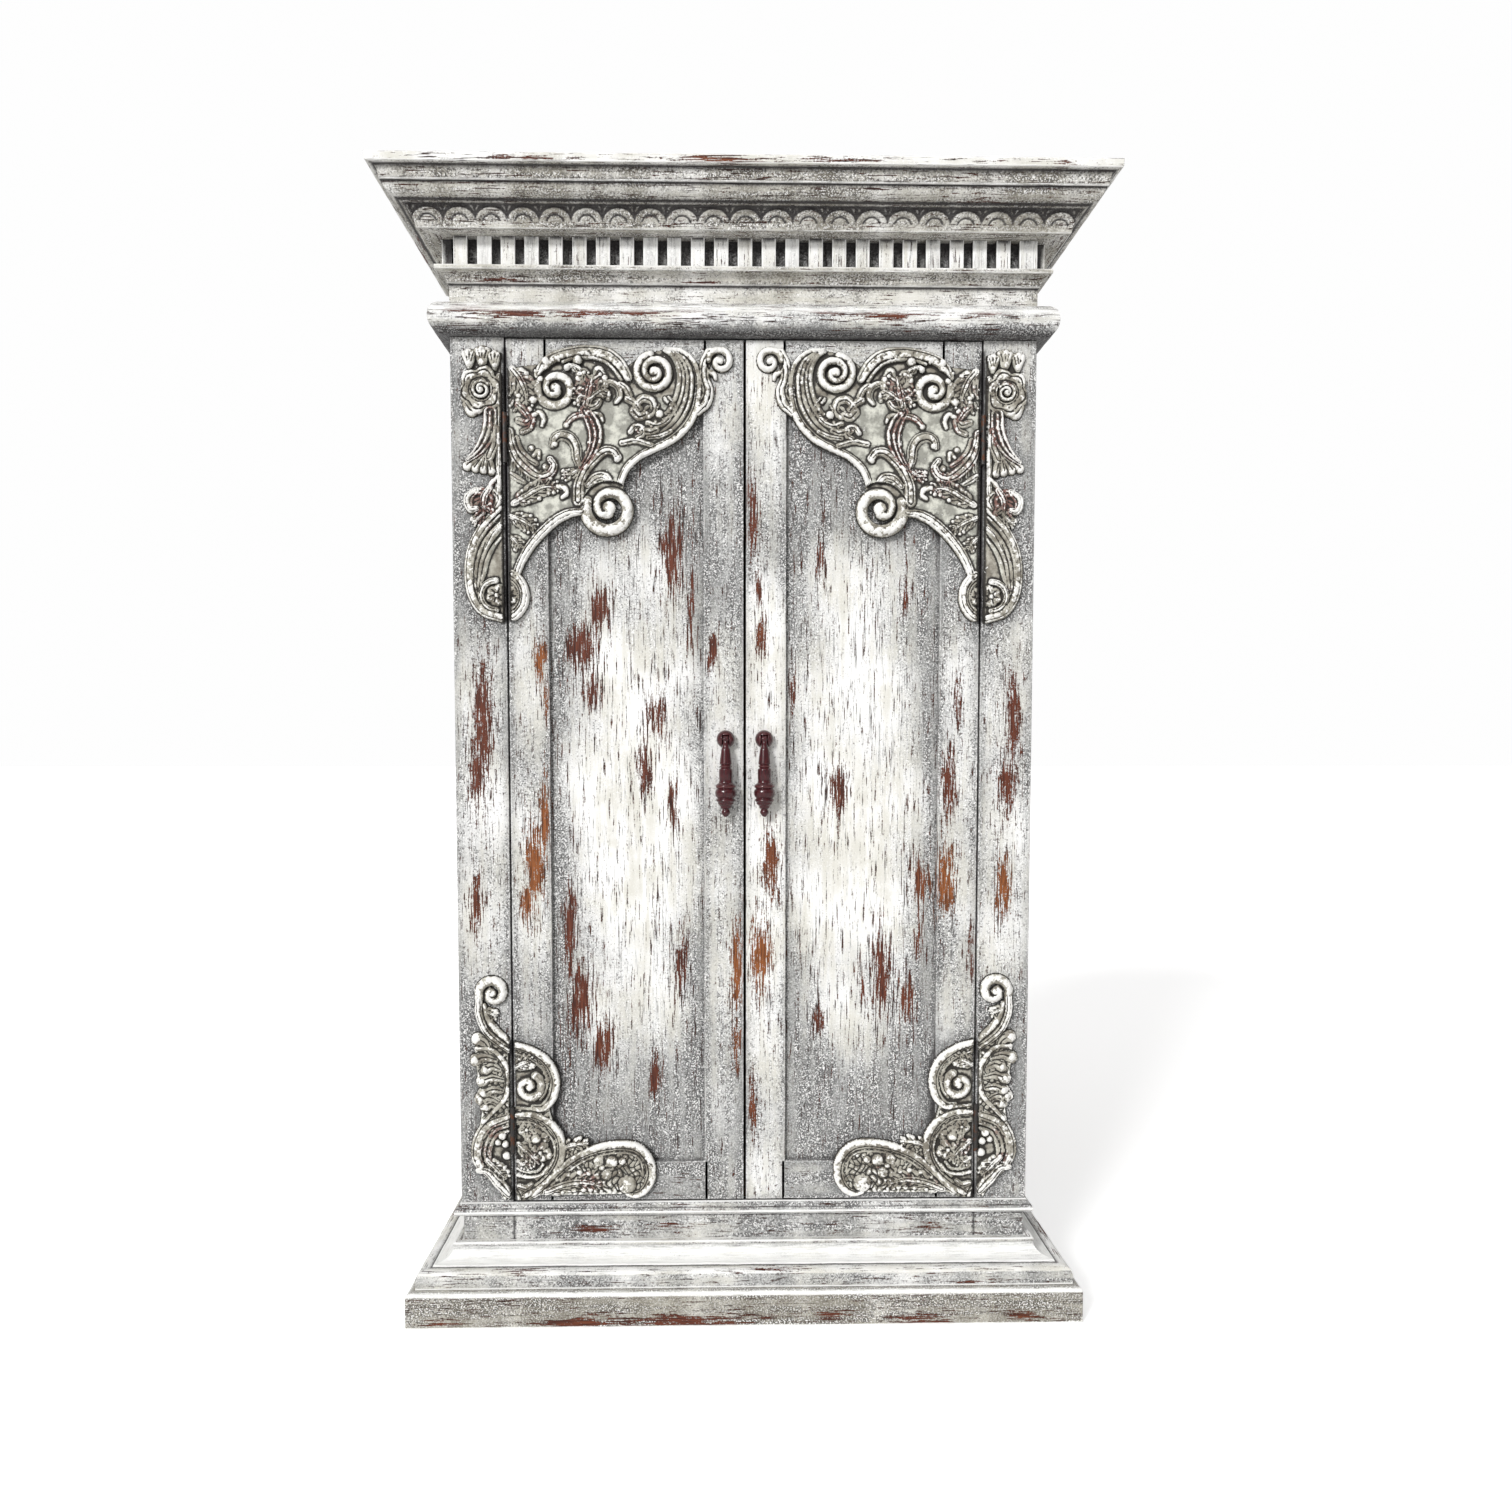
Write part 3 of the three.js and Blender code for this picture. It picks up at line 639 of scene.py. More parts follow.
# Rubbed-through patches on each moulding: (place along the front, height, half length,
# half height, strength, orange). The side runs have them closer together.
RUN_CHIPS = {
    "plinth": [(-300, 8, 90, 14, 1, 0.2), (-120, 12, 130, 12, 1, 0), (160, 20, 40, 10, 0.9, 0.1),
               (330, 9, 60, 12, 0.9, 0.1), (520, 14, 40, 10, 0.8, 0.3), (-560, 12, 40, 10, 0.7, 0)],
    "base_cap": [(-420, 98, 60, 3, 0.7, 0), (60, 98, 80, 3, 0.6, 0), (430, 76, 60, 4, 0.7, 0)],
    "base_rail": [(-283, 152, 50, 7, 1, 0.1), (-60, 190, 60, 5, 0.8, 0), (-150, 158, 60, 6, 0.7, 0),
                  (230, 188, 70, 5, 0.8, 0), (360, 150, 30, 8, 0.7, 0)],
    "torus": [(-500, 1864, 50, 8, 1, 0.2), (-410, 1856, 70, 9, 1, 0.1), (-290, 1860, 90, 8, 1, 0.1),
              (265, 1858, 60, 10, 1, 0.2), (330, 1864, 40, 6, 0.8, 0), (60, 1866, 50, 5, 0.8, 0),
              (-190, 1858, 50, 6, 0.9, 0), (-110, 1864, 40, 5, 0.8, 0), (150, 1862, 45, 6, 0.8, 0.1),
              (440, 1862, 50, 7, 0.9, 0.1)],
    "frieze": [(-450, 1925, 60, 6, 0.7, 0), (-80, 1922, 60, 5, 0.5, 0)],
    "crown": [(-60, 2091, 70, 7, 1, 0.35), (150, 2092, 90, 5, 0.6, 0), (-430, 2060, 60, 4, 0.6, 0),
              (560, 2091, 30, 5, 0.7, 0.2), (-380, 2092, 70, 5, 0.6, 0), (430, 2040, 80, 4, 0.5, 0)],
}
# How grey and how worn each run is, the painted shade lines in its hollows and the painted highlights
# on its rounds: each line or round is (height, half width, strength).
RUN_GREY = {"plinth": 1.05, "base_cap": 0.40, "base_rail": 0.82, "torus": 0.46, "frieze": 0.52,
            "crown": 0.80}
RUN_WEAR = {"plinth": 0.45, "base_cap": 0.25, "base_rail": 0.3, "torus": 0.7, "frieze": 0.45,
            "crown": 0.6}
RUN_SHADE_LINES = {"base_rail": [(185, 2.2, 1), (198, 1.6, 0.75), (207.5, 2.0, 0.8)],
             "crown": [(2038, 2.2, 1), (2060, 1.5, 0.8), (2084, 1.2, 0.3)]}
RUN_HIGHLIGHTS = {"plinth": (63, 5, 0.8), "base_rail": (190.5, 3.0, 0.8), "torus": (1866, 9, 0.55),
              "crown": (2063, 1.3, 1.4)}
# Heights on the runs: where the torus is widest, the lowest and highest of the base cap's ledge
# and cove, of the frieze's cove and of the crown's carved band, and the foot of the crown's fillet.
TORUS_WIDEST = 1846
CAP_LEDGE = (94, 106)
CAP_COVE = (104, 128)
FRIEZE_COVE = (1914, 1944)
CROWN_BAND = (BAND_LOW - 2, BAND_HIGH)
CROWN_FILLET = 2083


def within(height, zone):
    """Which heights are inside a (lowest, highest) zone."""
    return (height > zone[0]) & (height < zone[1])


def shade_run(name, side, along, height, marks):
    """What one kind of moulding has that the others don't."""
    if name == "torus":
        # painted shade on the torus's underside
        under = np.clip((TORUS_WIDEST - height) / 20, 0, 1)
        marks["grey"] += 0.9 * under
        deepen(marks, "dirt", 0.62 * under)
    if name == "frieze":
        low, high = FRIEZE_COVE
        # painted shade in the frieze's cove
        cove = np.clip((height - low) / 8, 0, 1) * np.clip((high - height) / 6, 0, 1)
        marks["grey"] += 0.25 * cove
        deepen(marks, "dirt", 0.3 * cove)
    if name == "base_cap":
        # painted shade under the base cap's ledge, less grey on the ledge, a painted highlight in the
        # cove
        marks["grey"] += 0.35 * (height < CAP_LEDGE[0]) - 0.25 * within(height, CAP_LEDGE)
        deepen(marks, "bright", 0.55 * within(height, CAP_COVE))
    if name == "crown":
        marks["grey"] += 0.05 * within(height, CROWN_BAND)
        marks["grey"] -= 0.72 * np.clip((height - CROWN_FILLET) / 4, 0, 1)
    if name in ("crown", "frieze"):
        # fainter painted highlights and rubbing on the crown and frieze
        marks["bright"] *= 0.45
    if name == "base_rail" and side == 0:
        below_ledge = height < 184
        for seam in (-SEAM, SEAM):
            deepen(marks, "dirt", bell(along - seam, 2.2) * below_ledge)


def soil_run(name, side, points, marks):
    """Grey wash, wear and bare patches on a run of moulding."""
    along = points[:, 0] if side == 0 else points[:, 1]
    height = points[:, 2]
    uneven = ripple((along, 410, side), (along, 173, height[0]), (along, 67, 1.0))
    marks["grey"] = RUN_GREY[name] + 0.32 * uneven
    marks["wear"] = RUN_WEAR[name] - 0.25 * uneven
    for place, level, long, tall, strength, orange in RUN_CHIPS[name]:
        where = place if side == 0 else CASE_FRONT + 300 + 0.4 * place * side
        spot = bell(along - where, long) * bell(height - level, tall)
        deepen(marks, "chip", strength * spot)
        deepen(marks, "orange", orange * spot)
    # painted shade lines in the hollows
    if name in RUN_SHADE_LINES:
        lines = sum(strength * bell(height - level, wide) for level, wide, strength in RUN_SHADE_LINES[name])
        deepen(marks, "dirt", np.clip(lines, 0, 1))
    # painted highlight along the round
    if name in RUN_HIGHLIGHTS:
        level, wide, strength = RUN_HIGHLIGHTS[name]
        deepen(marks, "bright", strength * bell(height - level, wide))
    shade_run(name, side, along, height, marks)


def build_mouldings(paint):
    """Every moulding's front run and two side runs."""
    for name, steps in (("plinth", PLINTH), ("base_cap", BASE_CAP), ("base_rail", BASE_RAIL),
                        ("torus", TORUS), ("frieze", FRIEZE), ("crown", CROWN)):
        for where, side in RUNS.items():
            if name == "crown":
                points, faces, marks = moulding(steps, side, 1.6, 1.6, scallops)
            else:
                points, faces, marks = moulding(steps, side)
            soil_run(name, side, points, marks)
            tone = "warm_" if name in ("crown", "frieze", "plinth") else ""
            finish = paint[tone + ("x" if side == 0 else "y")]
            piece(f"fine_{name}_{where}", points, faces, "case", finish,
                  [f"{name}_{where}"], marks)


# ---- dentils ----
DENTIL_PERIOD = 43.0
DENTIL_WIDTH = 25.8
# how far the teeth and the band behind them stand proud of the case
DENTIL_FACE = 13.5
DENTIL_BACK = -4.0
FRONT_TEETH = 25
SIDE_TEETH = 12


def dentil_block(start, width, side, bottom, top, seed):
    """One tooth: start and width run along the band."""
    random = np.random.default_rng(seed)
    jog = random.uniform(-0.6, 0.6, 4)
    low = (start + jog[0], DENTIL_BACK - 4, bottom)
    high = (start + width + jog[1], DENTIL_FACE + jog[2] * 0.5, top)
    points, faces = rounded_box(low, high, (5, 6, 6), 1.1)
    along, reach, height = points.T
    face = reach > DENTIL_FACE - 2.5
    edge = np.minimum(along - low[0], high[0] - along)
    # painted shade: darker towards the back between the teeth, under the top and along the foot
    recess_shade = (0.95 * np.clip((DENTIL_FACE - 0.5 - reach) / 9, 0, 1)
             + 0.9 * bell(top - height, 8) + 0.35 * bell(height - bottom, 3))
    # painted shade greys the teeth's sides; their faces are lighter, with a painted highlight along the
    # edges
    marks = marked(
        len(points), grey=0.45 + 0.5 * jog[3] + 0.5 * (~face), wear=0.3, dirt=recess_shade,
        bright=face * (0.38 + 0.35 * jog[3] + 0.5 * bell(edge, 2.0)),
        chip=face * (0.25 + jog[3] * 0.35) * bell(height - bottom - 12, 14))
    marks = {key: np.clip(values, 0, 1) for key, values in marks.items()}
    return on_run(side, along, reach, height), faces, marks


def build_dentils(paint):
    """A row of teeth on a grey band in painted shade, at the front and on each side."""
    bottom, top = FRIEZE_TOP + 0.2, DENTIL_TOP - 0.4
    for where, side in RUNS.items():
        if side == 0:
            end = HALF + DENTIL_BACK + GAP
            start, count = -end, FRONT_TEETH
            first = -((count - 1) * DENTIL_PERIOD + DENTIL_WIDTH) / 2
        else:
            start, end, count = CASE_FRONT - DENTIL_BACK, CASE_BACK, SIDE_TEETH
            first = start + 0.8
        parts = [dentil_block(first + k * DENTIL_PERIOD, DENTIL_WIDTH, side, bottom, top, k)
                 for k in range(count)]
        if side == 0:
            # a wider block fills the row out to its right end
            last = first + (count - 1) * DENTIL_PERIOD + DENTIL_WIDTH
            parts.append(dentil_block(last + 0.8, end - last - 1, side, bottom, top, count))
        # the band behind the teeth, in painted shade that is darkest under its top
        points, faces = rounded_box((start, -BOARD, bottom), (end, DENTIL_BACK, top), (9, 9, 9), 0.8)
        recess_shade = 0.62 + 0.5 * bell(top - points[:, 2], 16)
        marks = marked(len(points), grey=0.9, dirt=recess_shade)
        band = (on_run(side, *points.T), faces, marks)
        points, faces, marks = merge([band] + parts)
        piece(f"fine_dentils_{where}", points, faces, "case", paint["z"],
              ["dentil_front"] if side == 0 else (), marks)


# ---- boards ----
# heights that the upper carvings span, and where the lower ones end
UPPER_CARVINGS = (1308, 1806)
LOWER_CARVINGS_TOP = 520
# middle of a panel's pale oval, from the panel's centre line and the floor, and its half size
PALE_MIDDLE = (12, 965)
PALE_HALF = (138, 520)
# grey bands across the stiles and rails, near the top and at the foot, as (height, half height)
GREY_TOP = (1470, 150)
GREY_FOOT = (330, 240)
# Bare patches on the fronts: (x, height, half width, half height, strength, orange).
FRONT_CHIPS = [
    # the fixed stiles
    (-490, 1110, 20, 130, 1, 0), (-500, 1020, 16, 55, 1, 0), (-505, 780, 12, 60, 1, 0.2),
    (505, 1130, 15, 90, 1, 0), (495, 1000, 18, 55, 1, 0.1), (490, 810, 15, 65, 1, 0.8),
    # the hinge stiles
    (-380, 1230, 12, 45, 1, 1), (-370, 1160, 7, 50, 0.8, 0.6), (-375, 940, 10, 80, 1, 1),
    (-395, 850, 20, 85, 1, 1), (-410, 780, 13, 40, 0.9, 0.8), (400, 1160, 8, 50, 0.9, 0),
    (385, 1000, 15, 70, 1, 0), (380, 820, 20, 65, 1, 0.9), (430, 690, 8, 50, 0.8, 0),
    # the meeting stiles
    (-100, 1350, 8, 110, 0.8, 0), (-60, 1250, 11, 40, 1, 0), (-15, 660, 12, 90, 1, 0.8),
    (-15, 510, 9, 50, 0.9, 0.6), (15, 1500, 11, 75, 1, 0.1), (25, 1370, 7, 40, 0.9, 0.2),
    (30, 1280, 10, 40, 1, 0.3), (50, 850, 17, 70, 1, 0.4), (30, 680, 22, 75, 1, 0.9),
    (15, 390, 9, 65, 0.9, 0.3),
    # the left panel
    (-135, 1430, 21, 80, 1, 0), (-270, 1330, 20, 40, 1, 0), (-305, 1260, 30, 45, 1, 0),
    (-285, 1180, 15, 40, 0.8, 0), (-165, 1135, 25, 50, 0.8, 0), (-190, 1030, 15, 55, 0.8, 0),
    (-135, 975, 9, 65, 0.8, 0), (-330, 720, 14, 100, 1, 0), (-310, 595, 23, 70, 1, 0),
    (-270, 515, 19, 50, 1, 0.2), (-170, 440, 13, 40, 0.9, 0), (-120, 670, 13, 75, 0.8, 0),
    # the right panel
    (175, 995, 17, 50, 1, 0), (90, 1180, 8, 45, 0.8, 0), (140, 1420, 9, 45, 0.8, 0),
    (300, 1350, 9, 40, 0.8, 0), (260, 640, 18, 85, 1, 0), (310, 595, 17, 55, 0.9, 0.2),
    (225, 620, 9, 55, 0.8, 0), (140, 555, 11, 25, 0.9, 0), (335, 820, 17, 50, 1, 0.4),
    (330, 710, 11, 40, 0.9, 0.2),
]


def front_chips(x, height, marks):
    """Bare patches, the orange in them and the wear round them."""
    for at, level, wide, tall, strength, tint in FRONT_CHIPS:
        across = x - at
        up = height - level
        drift = 0.02 * up * math.copysign(1, at)
        deepen(marks, "chip", strength * bell(across + drift, wide) * bell(up, tall))
        deepen(marks, "orange", tint * bell(across, 2 * wide) * bell(up, 1.6 * tall))
        deepen(marks, "wear", strength * bell(across, 2.6 * wide) * bell(up, 1.8 * tall))


def panel_tone(x, height, low, high, edge, uneven, marks):
    """A panel: pale in a tall oval near the meeting stiles, grey round it."""
    centre = (low[0] + high[0]) / 2
    pale_x = (x - centre + PALE_MIDDLE[0] * math.copysign(1, centre)) / PALE_HALF[0]
    pale_z = (height - PALE_MIDDLE[1]) / PALE_HALF[1]
    away = (np.abs(pale_x) ** 2.6 + np.abs(pale_z) ** 3.2) + 0.18 * uneven
    marks["grey"] = np.clip(0.10 + 0.80 * away + 0.12 * uneven, 0, 1.0)
    # painted shade along the sunk edge beside the frame, and a little lighter in the pale middle
    marks["dirt"] = 0.2 * bell(edge - 8, 5) + 0.3 * bell(edge - 8, 16)
    marks["bright"] = 0.12 * bell(away, 0.5)
    deepen(marks, "wear", np.minimum(0.42, 0.24 + 0.45 * np.clip(away, 0, 1)))


def frame_tone(height, low, high, edge, uneven, marks):
    """A stile or rail: grey at its edges, near the top and at the foot."""
    fixed_stile = abs(low[0] + high[0]) > 2 * SEAM
    right_meeting_stile = 0 < low[0] < 10
    grey = 0.52 + 0.25 * uneven + 0.35 * bell(edge, 12)
    grey = grey + 0.45 * bell(height - GREY_TOP[0], GREY_TOP[1])
    grey = grey + (0.25 if fixed_stile else 0.33) * bell(height - GREY_FOOT[0], GREY_FOOT[1])
    if right_meeting_stile:
        grey = grey - 0.32
    marks["grey"] = np.clip(grey, 0, 1.1)
    # painted shade along the board's very edge and a painted highlight on its rounded edge
    marks["dirt"] = 0.4 * bell(edge, 1.2)
    marks["bright"] = 0.5 * bell(edge - 2.4, 1.5)


def front_marks(points, low, high, panel=False):
    """Marks on a board of the front, from its place on the whole front."""
    x, height = points[:, 0], points[:, 2]
    edge = np.minimum(np.minimum(x - low[0], high[0] - x),
                      np.minimum(height - low[2], high[2] - height))
    marks = marked(len(points), wear=0.0 if panel else 0.42)
    front_chips(x, height, marks)
    uneven = ripple((height, 530, low[0]), (height, 211, x[0]), (x + 0.4 * height, 160, 1.3))
    if panel:
        panel_tone(x, height, low, high, edge, uneven, marks)
    else:
        frame_tone(height, low, high, edge, uneven, marks)
    # painted shadow in the gap between the two halves of each carving, with no highlight there
    upper = within(height, UPPER_CARVINGS)
    lower = height < LOWER_CARVINGS_TOP
    split = bell(np.abs(x) - SEAM, 6) * np.where(upper, 1.0, 0.5 * lower)
    marks["bright"] = marks["bright"] * (1 - split)
    deepen(marks, "dirt", 0.95 * split)
    # painted shadow round the carvings
    shade = carving_shade(x, height) * np.clip((CASE_TOP - 12 - height) / 90, 0.25, 1)
    marks["grey"] = marks["grey"] + 0.6 * shade
    marks["dirt"] = np.clip(marks["dirt"] + 0.5 * shade * shade, 0, 1)
    marks["wear"] = np.clip(marks["wear"], 0, 1)
    return marks


def plain_marks(points, grey, wear):
    """Marks on a board that only has an uneven grey wash and wear."""
    uneven = ripple((points[:, 0], 233, 0.3), (points[:, 1], 191, 1.1), (points[:, 2], 407, 2.2))
    return marked(len(points), grey=grey + 0.2 * uneven, wear=wear - 0.15 * uneven)


def node_box(node):
    """A CAD node's low and high corners, in millimetres."""
    low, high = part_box(node)
    return np.array(low) / MM, np.array(high) / MM


def front_board(node, body, finish, panel=False):
    """One board of the front; its inner face has no patches, dirt, painted shade, rubbed edges or painted
    highlights.
    """
    low, high = node_box(node)
    points, faces = rounded_box(low, high, (5, 12, 6), 1.0 if panel else 1.6)
    marks = front_marks(points, low, high, panel)
    inner = points[:, 1] > low[1] + 4
    for key in ("chip", "orange", "dirt", "bright"):
        marks[key] = np.where(inner, 0, marks[key])
    piece(f"fine_{node}", points, faces, body, finish, [node], marks)


def build_doors(paint):
    """Both doors' stiles, rails and panels, and the fixed stiles beside them."""
    for where in SIDES:
        body = f"{where}_door"
        for part, axis in (("hinge_stile", "z"), ("meeting_stile", "z"), ("top_rail", "x"),
                           ("bottom_rail", "x"), ("panel", "z")):
            front_board(f"door_{part}_{where}", body, paint[axis], part == "panel")
        front_board(f"front_stile_{where}", "case", paint["z"])


def side_board(where, side, finish):
    """A plain side board, painted and worn, with bare patches here and there."""
    node = f"side_panel_{where}"
    low, high = node_box(node)
    points, faces = rounded_box(low, high, (6, 8, 8), 1.4)
    depth, height = points[:, 1], points[:, 2]
    marks = plain_marks(points, 0.28, 0.5)
    edge = np.minimum(depth - low[1], high[1] - depth)
    level = np.minimum(height - low[2], high[2] - height)
    marks["grey"] = marks["grey"] + 0.6 * bell(edge, 50) + 0.55 * bell(level, 110)
    # painted highlight on the rounded front and back edges
    marks["bright"] = 0.6 * bell(edge, 2)
    random = np.random.default_rng(40 + side)
    for _ in range(16):
        at = random.uniform(low[1] + 40, high[1] - 30)
        up = random.uniform(low[2] + 80, high[2] - 60)
        wide, tall = random.uniform(7, 18), random.uniform(35, 95)
        spot = bell(depth - at, wide) * bell(height - up, tall)
        deepen(marks, "chip", spot)
        deepen(marks, "orange", spot * (random.random() < 0.3))
    piece(f"fine_{node}", points, faces, "case", finish, [node], marks)


def side_lining(where, side, finish):
    """A skin of bare wood, 0.8 mm thick, over the side board's inner face."""
    low, high = node_box(f"side_panel_{where}")
    inner, outer = sorted((side * (HALF - BOARD - 0.3), side * (HALF - BOARD + 0.5)))
    low, high = (inner, low[1] + 2, low[2] + 2), (outer, high[1] - 2, high[2] - 2)
    points, faces = rounded_box(low, high, (1, 14, 16), 0.2)
    # painted shade towards the back
    marks = {"dirt": 0.5 * bell(points[:, 1] - high[1], 20)}
    piece(f"fine_side_lining_{where}", points, faces, "case", finish, (), marks)


def build_sides(paint, wood):
    for where, side in SIDES.items():
        side_board(where, side, paint["z"])
        side_lining(where, side, wood["z"])


def build_inside(wood):
    """Boards of the inside, in bare wood."""
    for node, steps in (("bottom_board", (12, 12, 8)), ("top_board", (12, 12, 8)),
                        ("hat_shelf", (12, 12, 6))):
        low, high = node_box(node)
        points, faces = rounded_box(low, high, steps, 1.5)
        edge = np.minimum(points[:, 1] - low[1], high[1] - points[:, 1])
        # darker towards the front and back edges
        marks = {"dirt": 0.5 * bell(edge, 14)}
        piece(f"fine_{node}", points, faces, "case", wood["x"], [node], marks)


def build_back(wood):
    """The back: a row of butted planks in bare wood."""
    low, high = node_box("back_panel")
    planks = 8
    wide = (high[0] - low[0]) / planks
    parts = []
    for k in range(planks):
        left = low[0] + k * wide
        near, far = (left + 0.25, low[1], low[2]), (left + wide - 0.25, high[1], high[2])
        points, faces = rounded_box(near, far, (14, 5, 16), 1.6)
        # darker at each plank's joint and towards the bottom
        dirt = 0.7 * bell(points[:, 0] - left, 4) + 0.5 * bell(points[:, 2] - low[2], 60)
        parts.append((points, faces, {"dirt": dirt}))
    points, faces, marks = merge(parts)
    piece("fine_back_panel", points, faces, "case", wood["z"], ["back_panel"], marks)


def build_lid(paint):
    """Dusty board that closes the cornice."""
    low, high = node_box("cornice_lid")
    points, faces = rounded_box(low, high, (10, 10, 8), 1.0)
    marks = plain_marks(points, 0.75, 0.5)
    edge = np.minimum(high[0] - np.abs(points[:, 0]), points[:, 1] - low[1])
    # darker along its sides and front
    marks["dirt"] = 0.1 + 0.4 * bell(edge, 12)
    piece("fine_cornice_lid", points, faces, "case", paint["x"], ["cornice_lid"], marks)


def turning(profile, sides, spacing=1.2):
    """Solid of revolution about Z from (radius, height) corners, gently smoothed: points, faces."""
    rows = [np.array(profile[0], float)]
    for end in profile[1:]:
        start = rows[-1]
        end = np.array(end, float)
        steps = max(1, int(np.linalg.norm(end - start) / spacing))
        rows += [start + (end - start) * k / steps for k in range(1, steps + 1)]
    rows = np.array(rows)
    for _ in range(2):
        rows[1:-1] = 0.25 * rows[:-2] + 0.5 * rows[1:-1] + 0.25 * rows[2:]
    rows[0, 0] = rows[-1, 0] = 0
    angle = np.linspace(0, 2 * math.pi, sides, endpoint=False)
    ring = np.stack([np.cos(angle), np.sin(angle)], -1)
    body = rows[1:-1]
    points = [np.array([[0, 0, rows[0, 1]]])]
    for radius, height in body:
        points.append(np.concatenate([ring * radius, np.full((sides, 1), height)], 1))
    points.append(np.array([[0, 0, rows[-1, 1]]]))
    points = np.concatenate(points)
    faces = []
    last = len(points) - 1
    for k in range(sides):
        after = (k + 1) % sides
        faces.append([0, 1 + k, 1 + after])
        for row in range(len(body) - 1):
            at = 1 + row * sides
            faces.append([at + k, at + sides + k, at + sides + after, at + after])
        at = 1 + (len(body) - 1) * sides
        faces.append([last, at + after, at + k])
    return points, faces


def along_x(points):
    """Turn a shape from the Z axis to the X axis."""
    return np.stack([points[:, 2], points[:, 0], points[:, 1]], -1)


def build_rail(wood):
    """The round rail that hangers go on."""
    low, high = node_box("hanging_rail")
    radius = (high[2] - low[2]) / 2
    half = (high[0] - low[0]) / 2
    points, faces = turning([(0, -half), (radius, -half), (radius, half), (0, half)], 48, 8)
    points = along_x(points) + (low + high) / 2
    piece("fine_hanging_rail", points, faces, "case", wood["x"], ["hanging_rail"],
          {"dirt": np.zeros(len(points))})


# ---- hardware ----
# pivot of the right drop, which the left one mirrors
PULL_X, PULL_Y, PULL_Z = 36.0, -240.5, 1089.0
# radii of the slotted ball and of the core in it, and half the slot's width
BALL, CORE = 17.0, 12.5
SLOT = 6.3
# how far the ball's centre is behind the pivot
BEHIND = 12
# the cross pin and the drop's eye, as (radius, half length)
PIN = (1.5, 8)
EYE = (6, 5)
# the drop's turned profile below its pin, as (radius, height)
DROP = [
    (0, -2.6), (4.4, -3), (5.2, -6), (5.6, -13), (8.2, -19), (9.4, -28), (10.6, -38), (11.6, -46),
    (8.8, -48), (12, -50.5), (9.0, -53), (12.4, -56), (12.6, -66), (12, -76), (12.6, -81),
    (16.4, -83.6), (18.8, -86.4), (18.8, -89.6), (15.6, -91.8), (18.8, -94.6), (19.8, -99),
    (19.2, -104.4), (17.4, -107.6), (15, -109.8), (17.6, -112), (18, -114.4), (14, -118),
    (15, -120), (9.6, -125), (10.4, -127), (6, -130.4), (8, -134), (8.2, -137.6), (5.6, -141),
    (3.4, -144), (0, -145),
]


def dome(radius, first, last, count):
    """Profile of a ball, from one angle off its pole to another."""
    return [(radius * math.sin(a), radius * math.cos(a)) for a in np.linspace(first, last, count)]


def ball_cheek(sign):
    """Half of the slotted ball, on one side of the slot."""
    rim = math.sqrt(BALL ** 2 - SLOT ** 2)
    arc = dome(BALL, math.acos((SLOT + 1) / BALL), 0, 14)
    points, faces = turning([(0, SLOT), (rim - 1.5, SLOT)] + arc, 40, 1.0)
    points = along_x(points)
    return points * (sign, 1, 1), faces


def rosette(pivot):
    """The slotted ball that the drop hangs in, with its core, cap and cross pin."""
    centre = pivot + (0, BEHIND, 0)
    cap = dome(BALL - 0.15, 1.1, 0, 10)
    parts = []
    for points, faces in (ball_cheek(-1), ball_cheek(1), turning(dome(CORE, 0, math.pi, 20), 32, 1.2),
                          turning([(0, cap[0][1])] + cap, 40, 1.0)):
        points = points + centre
        points[:, 1] = np.minimum(points[:, 1], CASE_FRONT - 0.15)
        # painted highlight round the front of the ball
        parts.append((points, faces, {"bright": bell(points[:, 1] - PULL_Y + 4, 3)}))
    radius, reach = PIN
    pin, faces = turning([(0, -reach), (radius, -reach), (radius, reach), (0, reach)], 16, 1.0)
    parts.append((along_x(pin) + pivot, faces, {"bright": np.zeros(len(pin))}))
    return merge(parts)


def hanging_drop(pivot):
    """The turned drop with the eye that its pin goes through."""
    points, faces = turning(DROP, 56, 0.8)
    # light catches the two sharpest rings
    marks = {"bright": bell(points[:, 2] + 88, 2) + bell(points[:, 2] + 50.5, 1.5)}
    radius, half = EYE
    ends = [(0, half), (radius - 1, half), (radius, half - 1)]
    rim = [(across, -up) for across, up in ends] + ends[::-1]
    eye, eye_faces = turning(rim, 32, 1.0)
    points, faces, marks = merge([
        (points, faces, marks), (along_x(eye), eye_faces, {"bright": np.zeros(len(eye))})])
    return points + pivot, faces, marks


def build_pulls(turned):
    """A rosette on each door and a drop that swings from it."""
    for where, side in SIDES.items():
        pivot = np.array([side * PULL_X, PULL_Y, PULL_Z])
        for part, shape, body in (("rosette", rosette, "door"), ("drop", hanging_drop, "pull")):
            points, faces, marks = shape(pivot)
            piece(f"fine_pull_{part}_{where}", points, faces, f"{where}_{body}", turned,
                  [f"pull_{part}_{where}"], marks)


def dress_hinges(iron):
    """The hinge leaves keep their CAD shape, with eased edges and forged iron."""
    for name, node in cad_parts.items():
        if not name.startswith("hinge_"):
            continue
        node.data.materials.clear()
        node.data.materials.append(iron)
        ease = node.modifiers.new("ease", "BEVEL")
        ease.width = 0.3 * MM
        ease.segments = 2
        ease.limit_method = "ANGLE"


